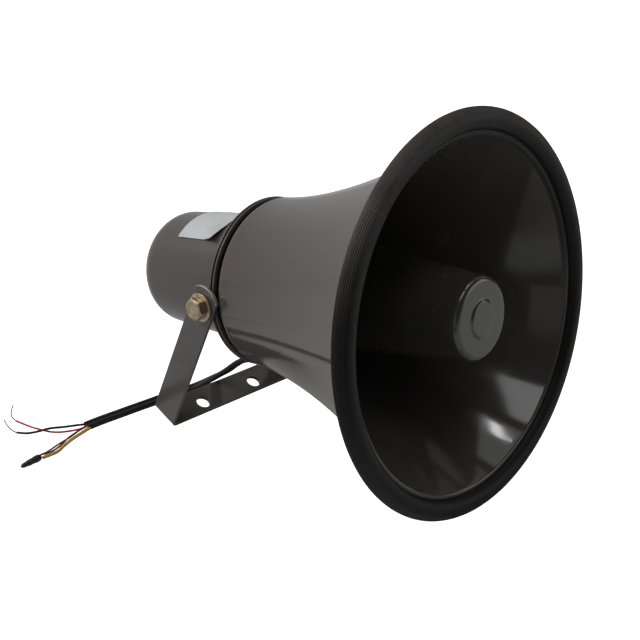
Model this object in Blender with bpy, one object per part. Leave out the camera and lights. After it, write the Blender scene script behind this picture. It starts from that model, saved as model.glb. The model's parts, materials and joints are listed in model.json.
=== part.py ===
"""Reflex horn loudspeaker: spun bell, reflector, rear driver cover and a tilting strap bracket.

Metres, +Z up. The horn is modelled about its own axis in the frame of the empty horn_axis, whose
local Z points out of the mouth and whose local Y is the horn's upper side. The bracket is modelled
in the frame of the empty bracket_pivot, on the axis of its two bolts. The speaker stands as it was
set down: on the lowest point of its mouth trim and on the front edge of its bracket.
"""
import math

import bmesh
import bpy
import numpy as np

# Fit between pieces that touch
FIT = 0.0003

# Attitude
ELEVATION = math.radians(6.3)       # the mouth points up by this angle

# Bell, a spun aluminium horn
HORN_DEPTH = 0.1348                 # mouth plane to the back of the bell
BELL_WALL = 0.0012
BELL_INSET = 0.0005                 # middle of its wall inside the rim of the joint's flanges
BELL_MOUTH_R = 0.0887               # middle of the wall where the lip turns out
FLARE_POWER = 1.6
SHOULDER_R = 0.0045
LIP_BEND_R = 0.0030
LIP_WIDTH = 0.0096                  # flat lip that the trim grips

# Rubber trim round the mouth
TRIM_AXIAL = 0.0105
TRIM_OVERHANG = 0.0047              # rubber outside the lip's rim
TRIM_LAP = 0.0068                   # rubber over the lip

# Flanged joint between the bell and the driver cover
FLANGE_WIDTH = 0.0110               # flange outside the can
FLANGE_T = 0.0012
BELL_GASKET_T = 0.0007
COVER_GASKET_T = 0.0006
GASKET_INSET = 0.0013
HUB_PLAY = 0.0007                   # hub inside the can
HUB_T = 0.0055

# Driver cover, a tapered die-cast can
COVER_FRONT_R = 0.0379
COVER_TAPER = 0.0044                # less radius at the rear, before the fillet
COVER_LENGTH = 0.0833
COVER_WALL = 0.0018
COVER_FILLET = 0.0155

# Cover screws
COVER_SCREW_COUNT = 4
COVER_SCREW_OFFSET = 0.0056         # screws outside the can
COVER_SCREW_SHANK_R = 0.0014
COVER_SCREW_HEAD_R = 0.0027
COVER_SCREW_HEAD_T = 0.0018
COVER_SCREW_TIP = 0.0015            # what stands out inside the bell

# Reflector, the inner horn with its closed nose
NOSE_FACE = 0.0040                  # face ahead of the mouth plane
NOSE_R = 0.0213
NOSE_EDGE_R = 0.0035
NOSE_DIMPLE_R = 0.0095
NOSE_DIMPLE_DEPTH = 0.0010
REFLECTOR_LENGTH = 0.1090
REFLECTOR_INSET = 0.0029            # skirt inside the hub's rim
REFLECTOR_WALL = 0.0018
LEG_COUNT = 3
LEG_WIDTH = 0.0080
LEG_THICKNESS = 0.0046
LEG_INSET = 0.0032                  # middle of a leg inside the skirt's rim
LEG_OVERLAP = 0.0040                # how far a leg runs up the skirt

# Screws that hold the reflector through the bell and the base plate
REFLECTOR_SCREW_SHANK_R = 0.0012
REFLECTOR_SCREW_HEAD_R = 0.0024
REFLECTOR_SCREW_HEAD_T = 0.0016
REFLECTOR_SCREW_LENGTH = 0.0145

# Throat tube
THROAT_INSET = 0.0027               # throat inside the plug's rim
TUBE_FLARE = 0.0020                 # wider at the tube's open end
TUBE_WALL = 0.0015
TUBE_TIP = -0.0120                  # height of its open end on the horn's axis
TUBE_FLANGE_WIDTH = 0.0050          # flange outside the tube
TUBE_FLANGE_T = 0.0016
TUBE_SEAT_DEPTH = 0.0042

# Compression driver
DRIVER_SPACE = 0.0049               # between the driver and the can
FRONT_T = 0.0085
RING_WIDTH = 0.0083                 # diaphragm's clamping ring
SURROUND_WIDTH = 0.0059
DOME_HEIGHT = 0.0050
DIAPHRAGM_T = 0.0004
DIAPHRAGM_TRAVEL = 0.0004
SPACER_T = 0.0015
PLUG_INSET = 0.0048                 # plug inside the dome's edge
PLUG_TIP_R = 0.0016
PLUG_LENGTH = 0.0105
PLUG_SLOT = 0.0013                  # ring slot that lets the sound past
PLUG_RIB_T = 0.0014
COIL_T = 0.0008
COIL_LENGTH = 0.0088
POLE_PLAY = 0.0008                  # inside the coil
GAP_PLAY = 0.0009                   # outside the coil
TOP_PLATE_T = 0.0050
MAGNET_INSET = 0.0060               # magnet inside the top plate's rim
MAGNET_BORE_PLAY = 0.0006           # bore over the top plate's hole
MAGNET_T = 0.0100
YOKE_OVERHANG = 0.0044              # yoke outside the magnet
YOKE_T = 0.0050
DRIVER_SCREW_COUNT = 3
DRIVER_SCREW_INSET = 0.0030         # screws inside the driver's rim
DRIVER_SCREW_SHANK_R = 0.0014
DRIVER_SCREW_HEAD_R = 0.0025
DRIVER_SCREW_HEAD_T = 0.0022
DRIVER_SCREW_GRIP = 0.0030          # thread in the base plate

# Line transformer behind the driver
CORE_WIDTH = 0.0340
CORE_LENGTH = 0.0320
CORE_STACK = 0.0130
CORE_LIMB = 0.0055
CORE_CENTRE_LIMB = 0.0100
WINDING_PROUD = 0.0055
CLAMP_T = 0.0010
CLAMP_INSET = 0.0013                # feet inside the yoke's rim
CLAMP_WIDTH = 0.0120
CLAMP_SCREW_SHANK_R = 0.0011
CLAMP_SCREW_HEAD_R = 0.0022
CLAMP_SCREW_HEAD_T = 0.0014
CLAMP_SCREW_GRIP = 0.0030
TERMINAL_WIDTH = 0.0200
TERMINAL_HEIGHT = 0.0060
TERMINAL_T = 0.0016
TERMINAL_INSET = 0.0071             # middle of the board inside the yoke's rim
TAG_WIDTH = 0.0030
TAG_T = 0.0006
TAG_LENGTH = 0.0060

# Bracket and its bolts
PIVOT_SETBACK = 0.0038              # bolt axis behind the cover's flange
PIVOT_DROP = 0.0029                 # bolt axis below the horn's axis
BOSS_R = 0.0072
BOSS_BORE_DEPTH = 0.0110
STRAP_WIDTH = 0.0180
STRAP_T = 0.0020
STRAP_END_R = 0.0123
STRAP_BEND_R = 0.0035
BRACKET_LEAN = math.radians(24.563)  # tilt of the arms behind the upright
BASE_HOLE_R = 0.00425
BASE_HOLE_PITCH = 0.0430
BASE_HOLE_SHIFT = 0.0020            # holes ahead of the strap's middle
BOLT_R = 0.0032
BOLT_FLATS = 0.0115
BOLT_HEAD_T = 0.0046
BOLT_TURN = math.radians(46.3)      # a corner of the head as it was tightened
BOLT_REACH = 0.0105                 # thread inside the boss
WASHER_R = 0.0082
WASHER_T = 0.0016

# Cable outlet under the cover
OUTLET_SETBACK = 0.0103             # behind the cover's flange
GROMMET_R = 0.0062
GROMMET_NECK_R = 0.0048
GROMMET_LIP_T = 0.0014
SHEATH_D = 0.0036
SHEATH_PITCH = 0.0040               # centre to centre of the two cables

# Cores and cable ends
BLACK_CORE_D = 0.0014
RED_CORE_D = 0.0012
GREEN_CORE_D = 0.0011
CLARET_CORE_D = 0.0011
YELLOW_CORE_D = 0.0020
STRAND_D = 0.0007
TAPE_D = 0.0046

# Paper label on the cover
LABEL_T = 0.00025
LABEL_SETBACK = 0.0178              # behind the cover's flange
LABEL_LENGTH = 0.0330
LABEL_START = math.radians(61.0)    # angle from the horn's +X side
LABEL_END = math.radians(133.0)
LABEL_LIFT = 0.0026
LABEL_CURL_LENGTH = 0.0110
LABEL_CURL_ANGLE = math.radians(22.0)

# Routes of the cords, in millimetres: the two cables side by side, then the cores they end in
SHEATH_A_ROUTE = [
    (2.0, 42.5, 53.4), (2.0, 41.9, 48.0), (2.0, 41.5, 44.0), (2.0, 43.1, 39.6),
    (2.2, 47.5, 35.8), (2.5, 52.9, 33.0), (2.6, 58.5, 30.6), (2.6, 63.5, 27.6),
    (2.4, 68.7, 23.6), (2.2, 73.5, 19.4), (2.0, 78.2, 15.9), (1.4, 82.8, 12.7),
    (0.3, 87.1, 9.9), (-1.9, 91.3, 7.0), (-5.3, 95.1, 4.5), (-9.8, 97.9, 2.8),
    (-15.6, 99.9, 2.0), (-22.8, 100.9, 1.9), (-31.9, 101.5, 1.9), (-41.9, 102.0, 1.9),
    (-51.9, 102.6, 1.9), (-61.9, 103.1, 1.9), (-76.4, 103.8, 1.9), (-87.0, 103.9, 1.9)]
SHEATH_B_ROUTE = [
    (-2.0, 42.5, 53.4), (-2.0, 41.9, 48.0), (-2.0, 41.5, 44.0), (-2.0, 43.3, 39.6),
    (-1.8, 47.7, 35.8), (-1.5, 53.1, 33.0), (-1.4, 58.5, 30.6), (-1.4, 63.5, 27.6),
    (-1.6, 68.5, 23.6), (-1.8, 73.3, 19.4), (-2.0, 77.8, 15.9), (-2.6, 82.0, 12.7),
    (-3.5, 85.7, 9.9), (-5.1, 89.1, 7.0), (-7.9, 92.1, 4.5), (-11.4, 94.3, 2.8),
    (-16.4, 95.9, 2.0), (-23.2, 96.9, 1.9), (-32.1, 97.5, 1.9), (-42.1, 98.0, 1.9),
    (-52.1, 98.6, 1.9), (-62.1, 99.1, 1.9), (-76.6, 99.8, 1.9), (-87.0, 99.9, 1.9)]
BLACK_ROUTE = [
    (-87.4, 104.4, 2.0), (-91.0, 106.6, 2.0), (-98.0, 109.9, 2.2), (-102.5, 112.0, 2.6),
    (-106.5, 114.0, 2.6), (-111.0, 116.7, 1.6), (-116.0, 120.5, 0.9), (-119.5, 125.6, 0.8)]
RED_ROUTE = [
    (-87.4, 102.9, 1.2), (-91.5, 103.4, 0.8), (-97.0, 105.6, 0.7), (-101.4, 108.2, 0.7),
    (-104.4, 111.4, 0.7), (-106.3, 115.1, 0.7), (-109.4, 125.7, 0.7), (-111.2, 138.8, 0.7)]
GREEN_ROUTE = [
    (-87.4, 100.9, 2.4), (-94.0, 100.6, 1.6), (-101.8, 98.9, 0.8), (-112.0, 96.4, 0.7),
    (-120.3, 93.4, 0.9), (-127.9, 90.4, 2.4)]
CLARET_ROUTE = [
    (-87.4, 99.9, 3.0), (-94.0, 98.9, 2.9), (-103.0, 97.4, 2.0), (-111.7, 94.3, 0.8),
    (-120.3, 91.4, 1.0), (-127.9, 88.9, 3.4)]
YELLOW_ROUTE = [
    (-87.4, 99.2, 1.5), (-95.0, 97.7, 1.1), (-103.2, 95.3, 1.1), (-111.0, 92.0, 1.1),
    (-117.8, 88.9, 1.1), (-127.9, 87.1, 2.2)]
BLACK_STRAND_ROUTE = [
    (-119.7, 126.1, 0.8), (-119.6, 131.0, 0.7), (-118.0, 138.0, 0.6), (-115.4, 145.0, 0.6)]
RED_STRAND_ROUTE = [
    (-111.2, 139.4, 0.7), (-109.6, 146.0, 0.6), (-105.6, 152.6, 0.6), (-100.2, 158.8, 0.6)]
TAPE_ROUTE = [
    (-128.4, 88.6, 2.4), (-142.6, 86.5, 2.4)]

# Facets round the turned pieces
BELL_STEPS = 48
COVER_STEPS = 40
REFLECTOR_STEPS = 32
DRIVER_STEPS = 28
SCREW_STEPS = 8

MM = 0.001

# Places along the horn's axis, from the mouth plane backwards
BELL_BACK = -HORN_DEPTH
BASE_FRONT = BELL_BACK - BELL_GASKET_T - 2 * FIT
BASE_RIM_BACK = BASE_FRONT - FLANGE_T
COVER_FRONT = BASE_RIM_BACK - COVER_GASKET_T - 2 * FIT
FLANGE_BACK = COVER_FRONT - FLANGE_T
COVER_BACK = COVER_FRONT - COVER_LENGTH
HUB_BACK = BASE_FRONT - HUB_T
FRONT_FACE = HUB_BACK - FIT
FRONT_BACK = FRONT_FACE - FRONT_T
SPACER_BACK = FRONT_BACK - FIT - SPACER_T
TOP_PLATE_FRONT = SPACER_BACK - FIT
TOP_PLATE_BACK = TOP_PLATE_FRONT - TOP_PLATE_T
MAGNET_FRONT = TOP_PLATE_BACK - FIT
MAGNET_BACK = MAGNET_FRONT - MAGNET_T
YOKE_FRONT = MAGNET_BACK - FIT
YOKE_BACK = YOKE_FRONT - YOKE_T
DIAPHRAGM_FRONT = FRONT_BACK - 0.5 * (SPACER_T + 2 * FIT - DIAPHRAGM_T)
CORE_FRONT = YOKE_BACK - FIT
CORE_BACK = CORE_FRONT - CORE_LENGTH

PIVOT_BACK = PIVOT_SETBACK - FLANGE_BACK
OUTLET_BACK = OUTLET_SETBACK - FLANGE_BACK
LABEL_FRONT = LABEL_SETBACK - FLANGE_BACK

# Places across it
FLANGE_R = COVER_FRONT_R + FLANGE_WIDTH
GASKET_R = FLANGE_R - GASKET_INSET
COVER_SCREW_PITCH_R = COVER_FRONT_R + COVER_SCREW_OFFSET
COVER_REAR_R = COVER_FRONT_R - COVER_TAPER
HUB_R = COVER_FRONT_R - COVER_WALL - HUB_PLAY
BELL_REAR_R = FLANGE_R - BELL_INSET
LIP_R = BELL_MOUTH_R + LIP_WIDTH
MOUTH_R = LIP_R + TRIM_OVERHANG
TRIM_RADIAL = TRIM_OVERHANG + TRIM_LAP
REFLECTOR_REAR_R = HUB_R - REFLECTOR_INSET
LEG_R = REFLECTOR_REAR_R - LEG_INSET
DRIVER_R = COVER_FRONT_R - COVER_WALL - DRIVER_SPACE
DRIVER_SCREW_PITCH_R = DRIVER_R - DRIVER_SCREW_INSET
DIAPHRAGM_R = DRIVER_R - RING_WIDTH
CAVITY_R = DIAPHRAGM_R + 2 * FIT
DOME_R = DIAPHRAGM_R - SURROUND_WIDTH
PLUG_R = DOME_R - PLUG_INSET
PLUG_SEAT_R = PLUG_R + PLUG_SLOT
THROAT_R = PLUG_R - THROAT_INSET
TUBE_MOUTH_R = THROAT_R + TUBE_FLARE
TUBE_FLANGE_R = THROAT_R + TUBE_WALL + TUBE_FLANGE_WIDTH
COIL_R = DOME_R + 0.5 * FIT
POLE_R = COIL_R - POLE_PLAY
GAP_R = COIL_R + COIL_T + GAP_PLAY
MAGNET_R = DRIVER_R - MAGNET_INSET
MAGNET_BORE_R = GAP_R + MAGNET_BORE_PLAY
YOKE_R = MAGNET_R + YOKE_OVERHANG
CLAMP_FOOT = YOKE_R - CLAMP_INSET - 0.5 * CORE_WIDTH - CLAMP_T - FIT
TERMINAL_UP = YOKE_R - TERMINAL_INSET
STRAP_INNER = FLANGE_R + 2 * FIT
STRAP_OUTER = STRAP_INNER + STRAP_T
BOSS_FACE = STRAP_INNER - FIT

# Where the horn's mouth and the bracket's bolts are, with trim and bracket both on the floor
TRIM_R = MOUTH_R - 0.5 * TRIM_RADIAL
TRIM_DROP = math.hypot(0.5 * TRIM_RADIAL * math.cos(ELEVATION), 0.5 * TRIM_AXIAL * math.sin(ELEVATION))
TRIM_REACH = math.hypot(0.5 * TRIM_RADIAL * math.sin(ELEVATION), 0.5 * TRIM_AXIAL * math.cos(ELEVATION))
COVER_CORNER_R = COVER_REAR_R - COVER_FILLET
HORN_Z = TRIM_R * math.cos(ELEVATION) + TRIM_DROP
MOUTH_SIDE = TRIM_R * math.sin(ELEVATION) + TRIM_REACH
COVER_CORNER_BACK = -COVER_BACK - COVER_FILLET
COVER_SIDE = COVER_CORNER_R * math.sin(ELEVATION) + COVER_CORNER_BACK * math.cos(ELEVATION) + COVER_FILLET
HORN_Y = 0.5 * (MOUTH_SIDE - COVER_SIDE)
PIVOT_Y = HORN_Y + PIVOT_BACK * math.cos(ELEVATION) - PIVOT_DROP * math.sin(ELEVATION)
PIVOT_Z = HORN_Z - PIVOT_BACK * math.sin(ELEVATION) - PIVOT_DROP * math.cos(ELEVATION)
BRACKET_REACH = (PIVOT_Z - 0.5 * STRAP_WIDTH * math.sin(BRACKET_LEAN)) / math.cos(BRACKET_LEAN)

# Angles round it
COVER_SCREW_ANGLES = [math.tau * (i + 0.5) / COVER_SCREW_COUNT for i in range(COVER_SCREW_COUNT)]
LEG_ANGLES = [math.tau * (i / LEG_COUNT + 0.25) for i in range(LEG_COUNT)]
DRIVER_SCREW_ANGLES = [math.tau * (i / DRIVER_SCREW_COUNT + 0.75) for i in range(DRIVER_SCREW_COUNT)]


def clear_scene():
    for old in list(bpy.data.objects):
        bpy.data.objects.remove(old, do_unlink=True)


def material(name, color, roughness, metallic=0.0):
    """A Principled material of one colour."""
    made = bpy.data.materials.new(name)
    made.use_nodes = True
    shader = made.node_tree.nodes["Principled BSDF"]
    shader.inputs["Base Color"].default_value = (*color, 1.0)
    shader.inputs["Roughness"].default_value = roughness
    shader.inputs["Metallic"].default_value = metallic
    return made


def empty(name, parent=None, location=(0.0, 0.0, 0.0), rotation=(0.0, 0.0, 0.0)):
    made = bpy.data.objects.new(name, None)
    bpy.context.collection.objects.link(made)
    made.parent = parent
    made.location = location
    made.rotation_euler = rotation
    return made


def solid(name, bm, finish, parent, sharp=35.0):
    """Turn a bmesh into a named object with outward faces and smooth round sides."""
    bmesh.ops.recalc_face_normals(bm, faces=bm.faces)
    mesh = bpy.data.meshes.new(name)
    bm.to_mesh(mesh)
    bm.free()
    mesh.shade_smooth()
    mesh.set_sharp_from_angle(angle=math.radians(sharp))
    made = bpy.data.objects.new(name, mesh)
    bpy.context.collection.objects.link(made)
    made.parent = parent
    if finish is not None:
        made.data.materials.append(finish)
    return made


def turned(name, outline, finish, parent, steps):
    """Spin an outline of (radius, height) about local Z; one that ends on the axis makes a full solid."""
    bm = bmesh.new()
    verts = [bm.verts.new((r, 0.0, h)) for r, h in outline]
    for first, second in zip(verts, verts[1:]):
        bm.edges.new((first, second))
    if outline[0][0] > 0.0:
        bm.edges.new((verts[-1], verts[0]))
    bmesh.ops.spin(bm, geom=bm.verts[:] + bm.edges[:], cent=(0, 0, 0), axis=(0, 0, 1),
                   angle=math.tau, steps=steps, use_merge=True)
    bmesh.ops.remove_doubles(bm, verts=bm.verts, dist=1e-6)
    return solid(name, bm, finish, parent)


def prism(name, outline, low, high, finish, parent, axis="Z"):
    """Extrude a closed outline along an axis from low to high; its points are on the other two axes."""
    bm = bmesh.new()
    if axis == "X":
        points = [(low, y, z) for y, z in outline]
        step = (high - low, 0.0, 0.0)
    elif axis == "Y":
        points = [(x, low, z) for x, z in outline]
        step = (0.0, high - low, 0.0)
    else:
        points = [(x, y, low) for x, y in outline]
        step = (0.0, 0.0, high - low)
    face = bm.faces.new([bm.verts.new(point) for point in points])
    grown = bmesh.ops.extrude_face_region(bm, geom=[face])
    moved = [item for item in grown["geom"] if isinstance(item, bmesh.types.BMVert)]
    bmesh.ops.translate(bm, vec=step, verts=moved)
    return solid(name, bm, finish, parent)


def circle(radius, steps, centre=(0.0, 0.0), phase=0.0):
    turns = [math.tau * i / steps + phase for i in range(steps)]
    return [(centre[0] + radius * math.cos(t), centre[1] + radius * math.sin(t)) for t in turns]


def box_outline(width, height, centre=(0.0, 0.0)):
    x, y = centre
    w, h = 0.5 * width, 0.5 * height
    return [(x - w, y - h), (x + w, y - h), (x + w, y + h), (x - w, y + h)]


def at_angle(outline, angle):
    """Turn an XY outline about the axis."""
    c, s = math.cos(angle), math.sin(angle)
    return [(x * c - y * s, x * s + y * c) for x, y in outline]


def rounded(corners, arc_steps=5):
    """A path through (x, y, radius) corners, with an arc of that radius at each inner corner."""
    path = [corners[0][:2]]
    for before, here, after in zip(corners, corners[1:], corners[2:]):
        radius = here[2]
        corner = np.array(here[:2])
        if radius <= 0.0:
            path.append(tuple(corner))
            continue
        way_in = np.array(before[:2]) - corner
        way_out = np.array(after[:2]) - corner
        way_in /= np.linalg.norm(way_in)
        way_out /= np.linalg.norm(way_out)
        half = 0.5 * math.acos(np.clip(way_in @ way_out, -1.0, 1.0))
        centre = corner + (way_in + way_out) / np.linalg.norm(way_in + way_out) * radius / math.sin(half)
        start = corner + way_in * radius / math.tan(half) - centre
        end = corner + way_out * radius / math.tan(half) - centre
        sweep = math.pi - 2 * half
        for i in range(arc_steps + 1):
            t = i / arc_steps
            point = centre + (math.sin((1 - t) * sweep) * start + math.sin(t * sweep) * end) / math.sin(sweep)
            path.append(tuple(point))
    path.append(corners[-1][:2])
    return path


def offset(path, distance):
    """The path moved sideways by a distance, to the left of its run where that is positive."""
    points = np.array(path)
    runs = np.diff(points, axis=0)
    runs /= np.linalg.norm(runs, axis=1)[:, None]
    sides = np.stack([-runs[:, 1], runs[:, 0]], axis=1)
    mitres = np.vstack([sides[:1], sides[:-1] + sides[1:], sides[-1:]])
    mitres /= np.linalg.norm(mitres, axis=1)[:, None]
    reach = np.concatenate([[1.0], np.einsum("ij,ij->i", mitres[1:-1], sides[1:]), [1.0]])
    return [tuple(point) for point in points + mitres * (distance / reach)[:, None]]


def cut(target, cutter, operation="DIFFERENCE"):
    """Apply a hidden tool object to a target with an exact Boolean."""
    cutter.hide_render = True
    cutter.display_type = "WIRE"
    modifier = target.modifiers.new(cutter.name, "BOOLEAN")
    modifier.operation = operation
    modifier.object = cutter


def drill(target, label, places, radius, low, high, steps=SCREW_STEPS):
    """Drill holes along the local Z of the target's parent, at (x, y) places."""
    for i, place in enumerate(places):
        tool = prism(f"{label}_tool_{i}", circle(radius, steps, place, 0.31), low, high, None, target.parent)
        cut(target, tool)


def on_circle(radius, angles):
    return [(radius * math.cos(t), radius * math.sin(t)) for t in angles]


def flare(height):
    """Middle radius of the bell's wall at a height on its axis."""
    share = (height + HORN_DEPTH) / HORN_DEPTH
    return BELL_REAR_R + (BELL_MOUTH_R - BELL_REAR_R) * share ** FLARE_POWER


def bell_middle():
    """Middle line of the bell's wall, from its rear opening to the rim of its lip."""
    back = BELL_BACK + 0.5 * BELL_WALL
    opening = TUBE_FLANGE_R + 2 * FIT
    start = back + SHOULDER_R
    side = flare(start)
    shoulder = rounded([(opening, back, 0.0), (side, back, SHOULDER_R), (side, start + 1e-4, 0.0)], 3)
    slope = (BELL_MOUTH_R - BELL_REAR_R) * FLARE_POWER / HORN_DEPTH
    lean = math.atan(slope)
    turn = LIP_BEND_R * (1 - math.sin(lean))
    sides = [(flare(h), h) for h in np.linspace(start + 0.006, -turn, 6)]
    centre = (sides[-1][0] + LIP_BEND_R * math.cos(lean), -LIP_BEND_R)
    angles = np.linspace(math.pi - lean, 0.5 * math.pi, 3)[1:]
    lip = [(centre[0] + LIP_BEND_R * math.cos(t), centre[1] + LIP_BEND_R * math.sin(t)) for t in angles]
    return shoulder[:-1] + sides + lip + [(LIP_R, 0.0)]


def make_bell(finish, horn):
    middle = bell_middle()
    outline = offset(middle, 0.5 * BELL_WALL) + offset(middle, -0.5 * BELL_WALL)[::-1]
    bell = turned("horn_bell", outline, finish, horn, BELL_STEPS)
    low, high = BELL_BACK - 0.002, BELL_BACK + 0.003
    drill(bell, "bell_reflector_hole", on_circle(LEG_R, LEG_ANGLES), REFLECTOR_SCREW_SHANK_R + FIT, low, high)
    drill(bell, "bell_cover_hole", on_circle(COVER_SCREW_PITCH_R, COVER_SCREW_ANGLES),
          COVER_SCREW_SHANK_R + FIT, low, high)
    return bell


def trim_outline():
    """Section of the trim: a round strip with the groove that grips the lip of the bell."""
    groove = 0.5 * BELL_WALL + FIT
    floor = LIP_R + 2 * FIT
    opening = math.asin(groove / (0.5 * TRIM_AXIAL))
    turns = np.linspace(opening - math.pi, math.pi - opening, 15)
    section = [(TRIM_R + 0.5 * TRIM_RADIAL * math.cos(t), 0.5 * TRIM_AXIAL * math.sin(t)) for t in turns]
    return section + [(floor, groove), (floor, -groove)]


def reflector_inner():
    """Inner line of the reflector, from its axis to its rear rim."""
    roof = NOSE_FACE - NOSE_DIMPLE_DEPTH - REFLECTOR_WALL
    rear = NOSE_FACE - REFLECTOR_LENGTH
    return rounded([(0.0, roof, 0.0), (NOSE_R - REFLECTOR_WALL, roof, NOSE_EDGE_R),
                    (REFLECTOR_REAR_R - REFLECTOR_WALL, rear, 0.0)], 3)


def make_reflector(finish, horn):
    rear = NOSE_FACE - REFLECTOR_LENGTH
    outer = rounded([(REFLECTOR_REAR_R, rear, 0.0), (NOSE_R, NOSE_FACE, NOSE_EDGE_R),
                     (NOSE_DIMPLE_R + NOSE_DIMPLE_DEPTH, NOSE_FACE, 0.0),
                     (NOSE_DIMPLE_R, NOSE_FACE - NOSE_DIMPLE_DEPTH, 0.0),
                     (0.0, NOSE_FACE - NOSE_DIMPLE_DEPTH, 0.0)], 4)
    reflector = turned("reflector", reflector_inner() + outer, finish, horn, REFLECTOR_STEPS)
    foot = BELL_BACK + BELL_WALL + FIT
    head = rear + LEG_OVERLAP
    bore = HUB_BACK + REFLECTOR_SCREW_HEAD_T + REFLECTOR_SCREW_LENGTH + 2 * FIT
    for i, angle in enumerate(LEG_ANGLES):
        section = at_angle(box_outline(LEG_THICKNESS, LEG_WIDTH, (LEG_R, 0.0)), angle)
        leg = prism(f"leg_{i}", section, foot, head, None, horn)
        cut(reflector, leg, "UNION")
    drill(reflector, "leg_bore", on_circle(LEG_R, LEG_ANGLES), REFLECTOR_SCREW_SHANK_R + FIT,
          foot - 0.001, bore)
    return reflector


def make_base(finish, horn):
    """Base plate: the rim of the joint, the hub that carries the driver, and the throat."""
    seat = BASE_FRONT - TUBE_SEAT_DEPTH
    spigot = THROAT_R + TUBE_WALL + FIT
    outline = [(spigot, BASE_FRONT), (FLANGE_R, BASE_FRONT), (FLANGE_R, BASE_RIM_BACK),
               (HUB_R, BASE_RIM_BACK),
               (HUB_R, HUB_BACK), (THROAT_R, HUB_BACK), (THROAT_R, seat), (spigot, seat)]
    base = turned("horn_base", outline, finish, horn, COVER_STEPS)
    low, high = HUB_BACK - 0.001, BASE_FRONT + 0.001
    places = on_circle(LEG_R, LEG_ANGLES)
    drill(base, "base_reflector_hole", places, REFLECTOR_SCREW_SHANK_R + FIT, low, high)
    drill(base, "base_counterbore", places, REFLECTOR_SCREW_HEAD_R + FIT, low,
          HUB_BACK + REFLECTOR_SCREW_HEAD_T + 2 * FIT)
    drill(base, "base_driver_hole", on_circle(DRIVER_SCREW_PITCH_R, DRIVER_SCREW_ANGLES),
          DRIVER_SCREW_SHANK_R + FIT, low, HUB_BACK + DRIVER_SCREW_GRIP + FIT)
    drill(base, "base_cover_hole", on_circle(COVER_SCREW_PITCH_R, COVER_SCREW_ANGLES),
          COVER_SCREW_SHANK_R + FIT, low, high)
    return base


def make_gaskets(finish, horn):
    bore = TUBE_FLANGE_R + 2 * FIT
    front = BELL_BACK - FIT
    back = front - BELL_GASKET_T
    bell_gasket = turned("bell_gasket", [(bore, front), (GASKET_R, front), (GASKET_R, back), (bore, back)],
                         finish, horn, COVER_STEPS)
    holes = on_circle(COVER_SCREW_PITCH_R, COVER_SCREW_ANGLES)
    drill(bell_gasket, "gasket_cover_hole", holes, COVER_SCREW_SHANK_R + FIT, back - 0.001, front + 0.001)
    drill(bell_gasket, "gasket_reflector_hole", on_circle(LEG_R, LEG_ANGLES), REFLECTOR_SCREW_SHANK_R + FIT,
          back - 0.001, front + 0.001)
    front = BASE_RIM_BACK - FIT
    back = front - COVER_GASKET_T
    inner = COVER_FRONT_R
    ring = [(inner, front), (GASKET_R, front), (GASKET_R, back), (inner, back)]
    cover_gasket = turned("cover_gasket", ring,
                          finish, horn, COVER_STEPS)
    drill(cover_gasket, "cover_gasket_hole", holes, COVER_SCREW_SHANK_R + FIT, back - 0.001, front + 0.001)


def cover_radius(height):
    """Outer radius of the cover's straight taper at a height on the horn's axis."""
    share = (FLANGE_BACK - height) / (FLANGE_BACK - COVER_BACK)
    return COVER_FRONT_R + (COVER_REAR_R - COVER_FRONT_R) * share


def cover_outline():
    inner_end = COVER_BACK + COVER_WALL
    inner = rounded([(0.0, inner_end, 0.0), (COVER_REAR_R - COVER_WALL, inner_end, COVER_FILLET - COVER_WALL),
                     (COVER_FRONT_R - COVER_WALL, COVER_FRONT, 0.0)], 4)
    outer = rounded([(FLANGE_R, COVER_FRONT, 0.0), (FLANGE_R, FLANGE_BACK, 0.0),
                     (COVER_FRONT_R, FLANGE_BACK, 0.0012), (COVER_REAR_R, COVER_BACK, COVER_FILLET),
                     (0.0, COVER_BACK, 0.0)], 5)
    return inner + outer


def boss_outline():
    """Side view of a bolt boss, cut off level just behind the front of the flange."""
    rim = circle(BOSS_R, 20, (-PIVOT_DROP, -PIVOT_BACK))
    return [(y, min(z, COVER_FRONT - FIT)) for y, z in rim]


def make_cover(finish, horn):
    cover = turned("driver_cover", cover_outline(), finish, horn, COVER_STEPS)
    for side, label in ((-1, "left"), (1, "right")):
        root = side * (COVER_FRONT_R - 0.0012)
        face = side * BOSS_FACE
        boss = prism(f"boss_{label}", boss_outline(), min(root, face), max(root, face), None, horn, "X")
        cut(cover, boss, "UNION")
        bore = side * (BOSS_FACE - BOSS_BORE_DEPTH)
        mouth = face + side * 0.001
        hole = prism(f"boss_bore_{label}", circle(BOLT_R + FIT, 16, (-PIVOT_DROP, -PIVOT_BACK)),
                     min(bore, mouth), max(bore, mouth), None, horn, "X")
        cut(cover, hole)
    drill(cover, "cover_hole", on_circle(COVER_SCREW_PITCH_R, COVER_SCREW_ANGLES), COVER_SCREW_SHANK_R + FIT,
          FLANGE_BACK - 0.001, COVER_FRONT + 0.001)
    wall = cover_radius(-OUTLET_BACK)
    outlet = prism("outlet_hole", circle(GROMMET_NECK_R + FIT, 16),
                   wall - 3 * COVER_WALL, wall + COVER_WALL, None, horn)
    outlet.location = (0.0, 0.0, -OUTLET_BACK)
    outlet.rotation_euler = (math.radians(90.0), 0.0, 0.0)
    cut(cover, outlet)
    return cover


def screw_outline(head_r, head_t, shank_r, length):
    """Pan head behind z = 0 and shank ahead of it, both on the axis."""
    shank = [(0.0, length), (shank_r - 0.0003, length), (shank_r, length - 0.0003), (shank_r, 0.0)]
    return shank + [(head_r, 0.0), (head_r, -0.6 * head_t), (head_r - 0.4 * head_t, -head_t), (0.0, -head_t)]


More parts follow.
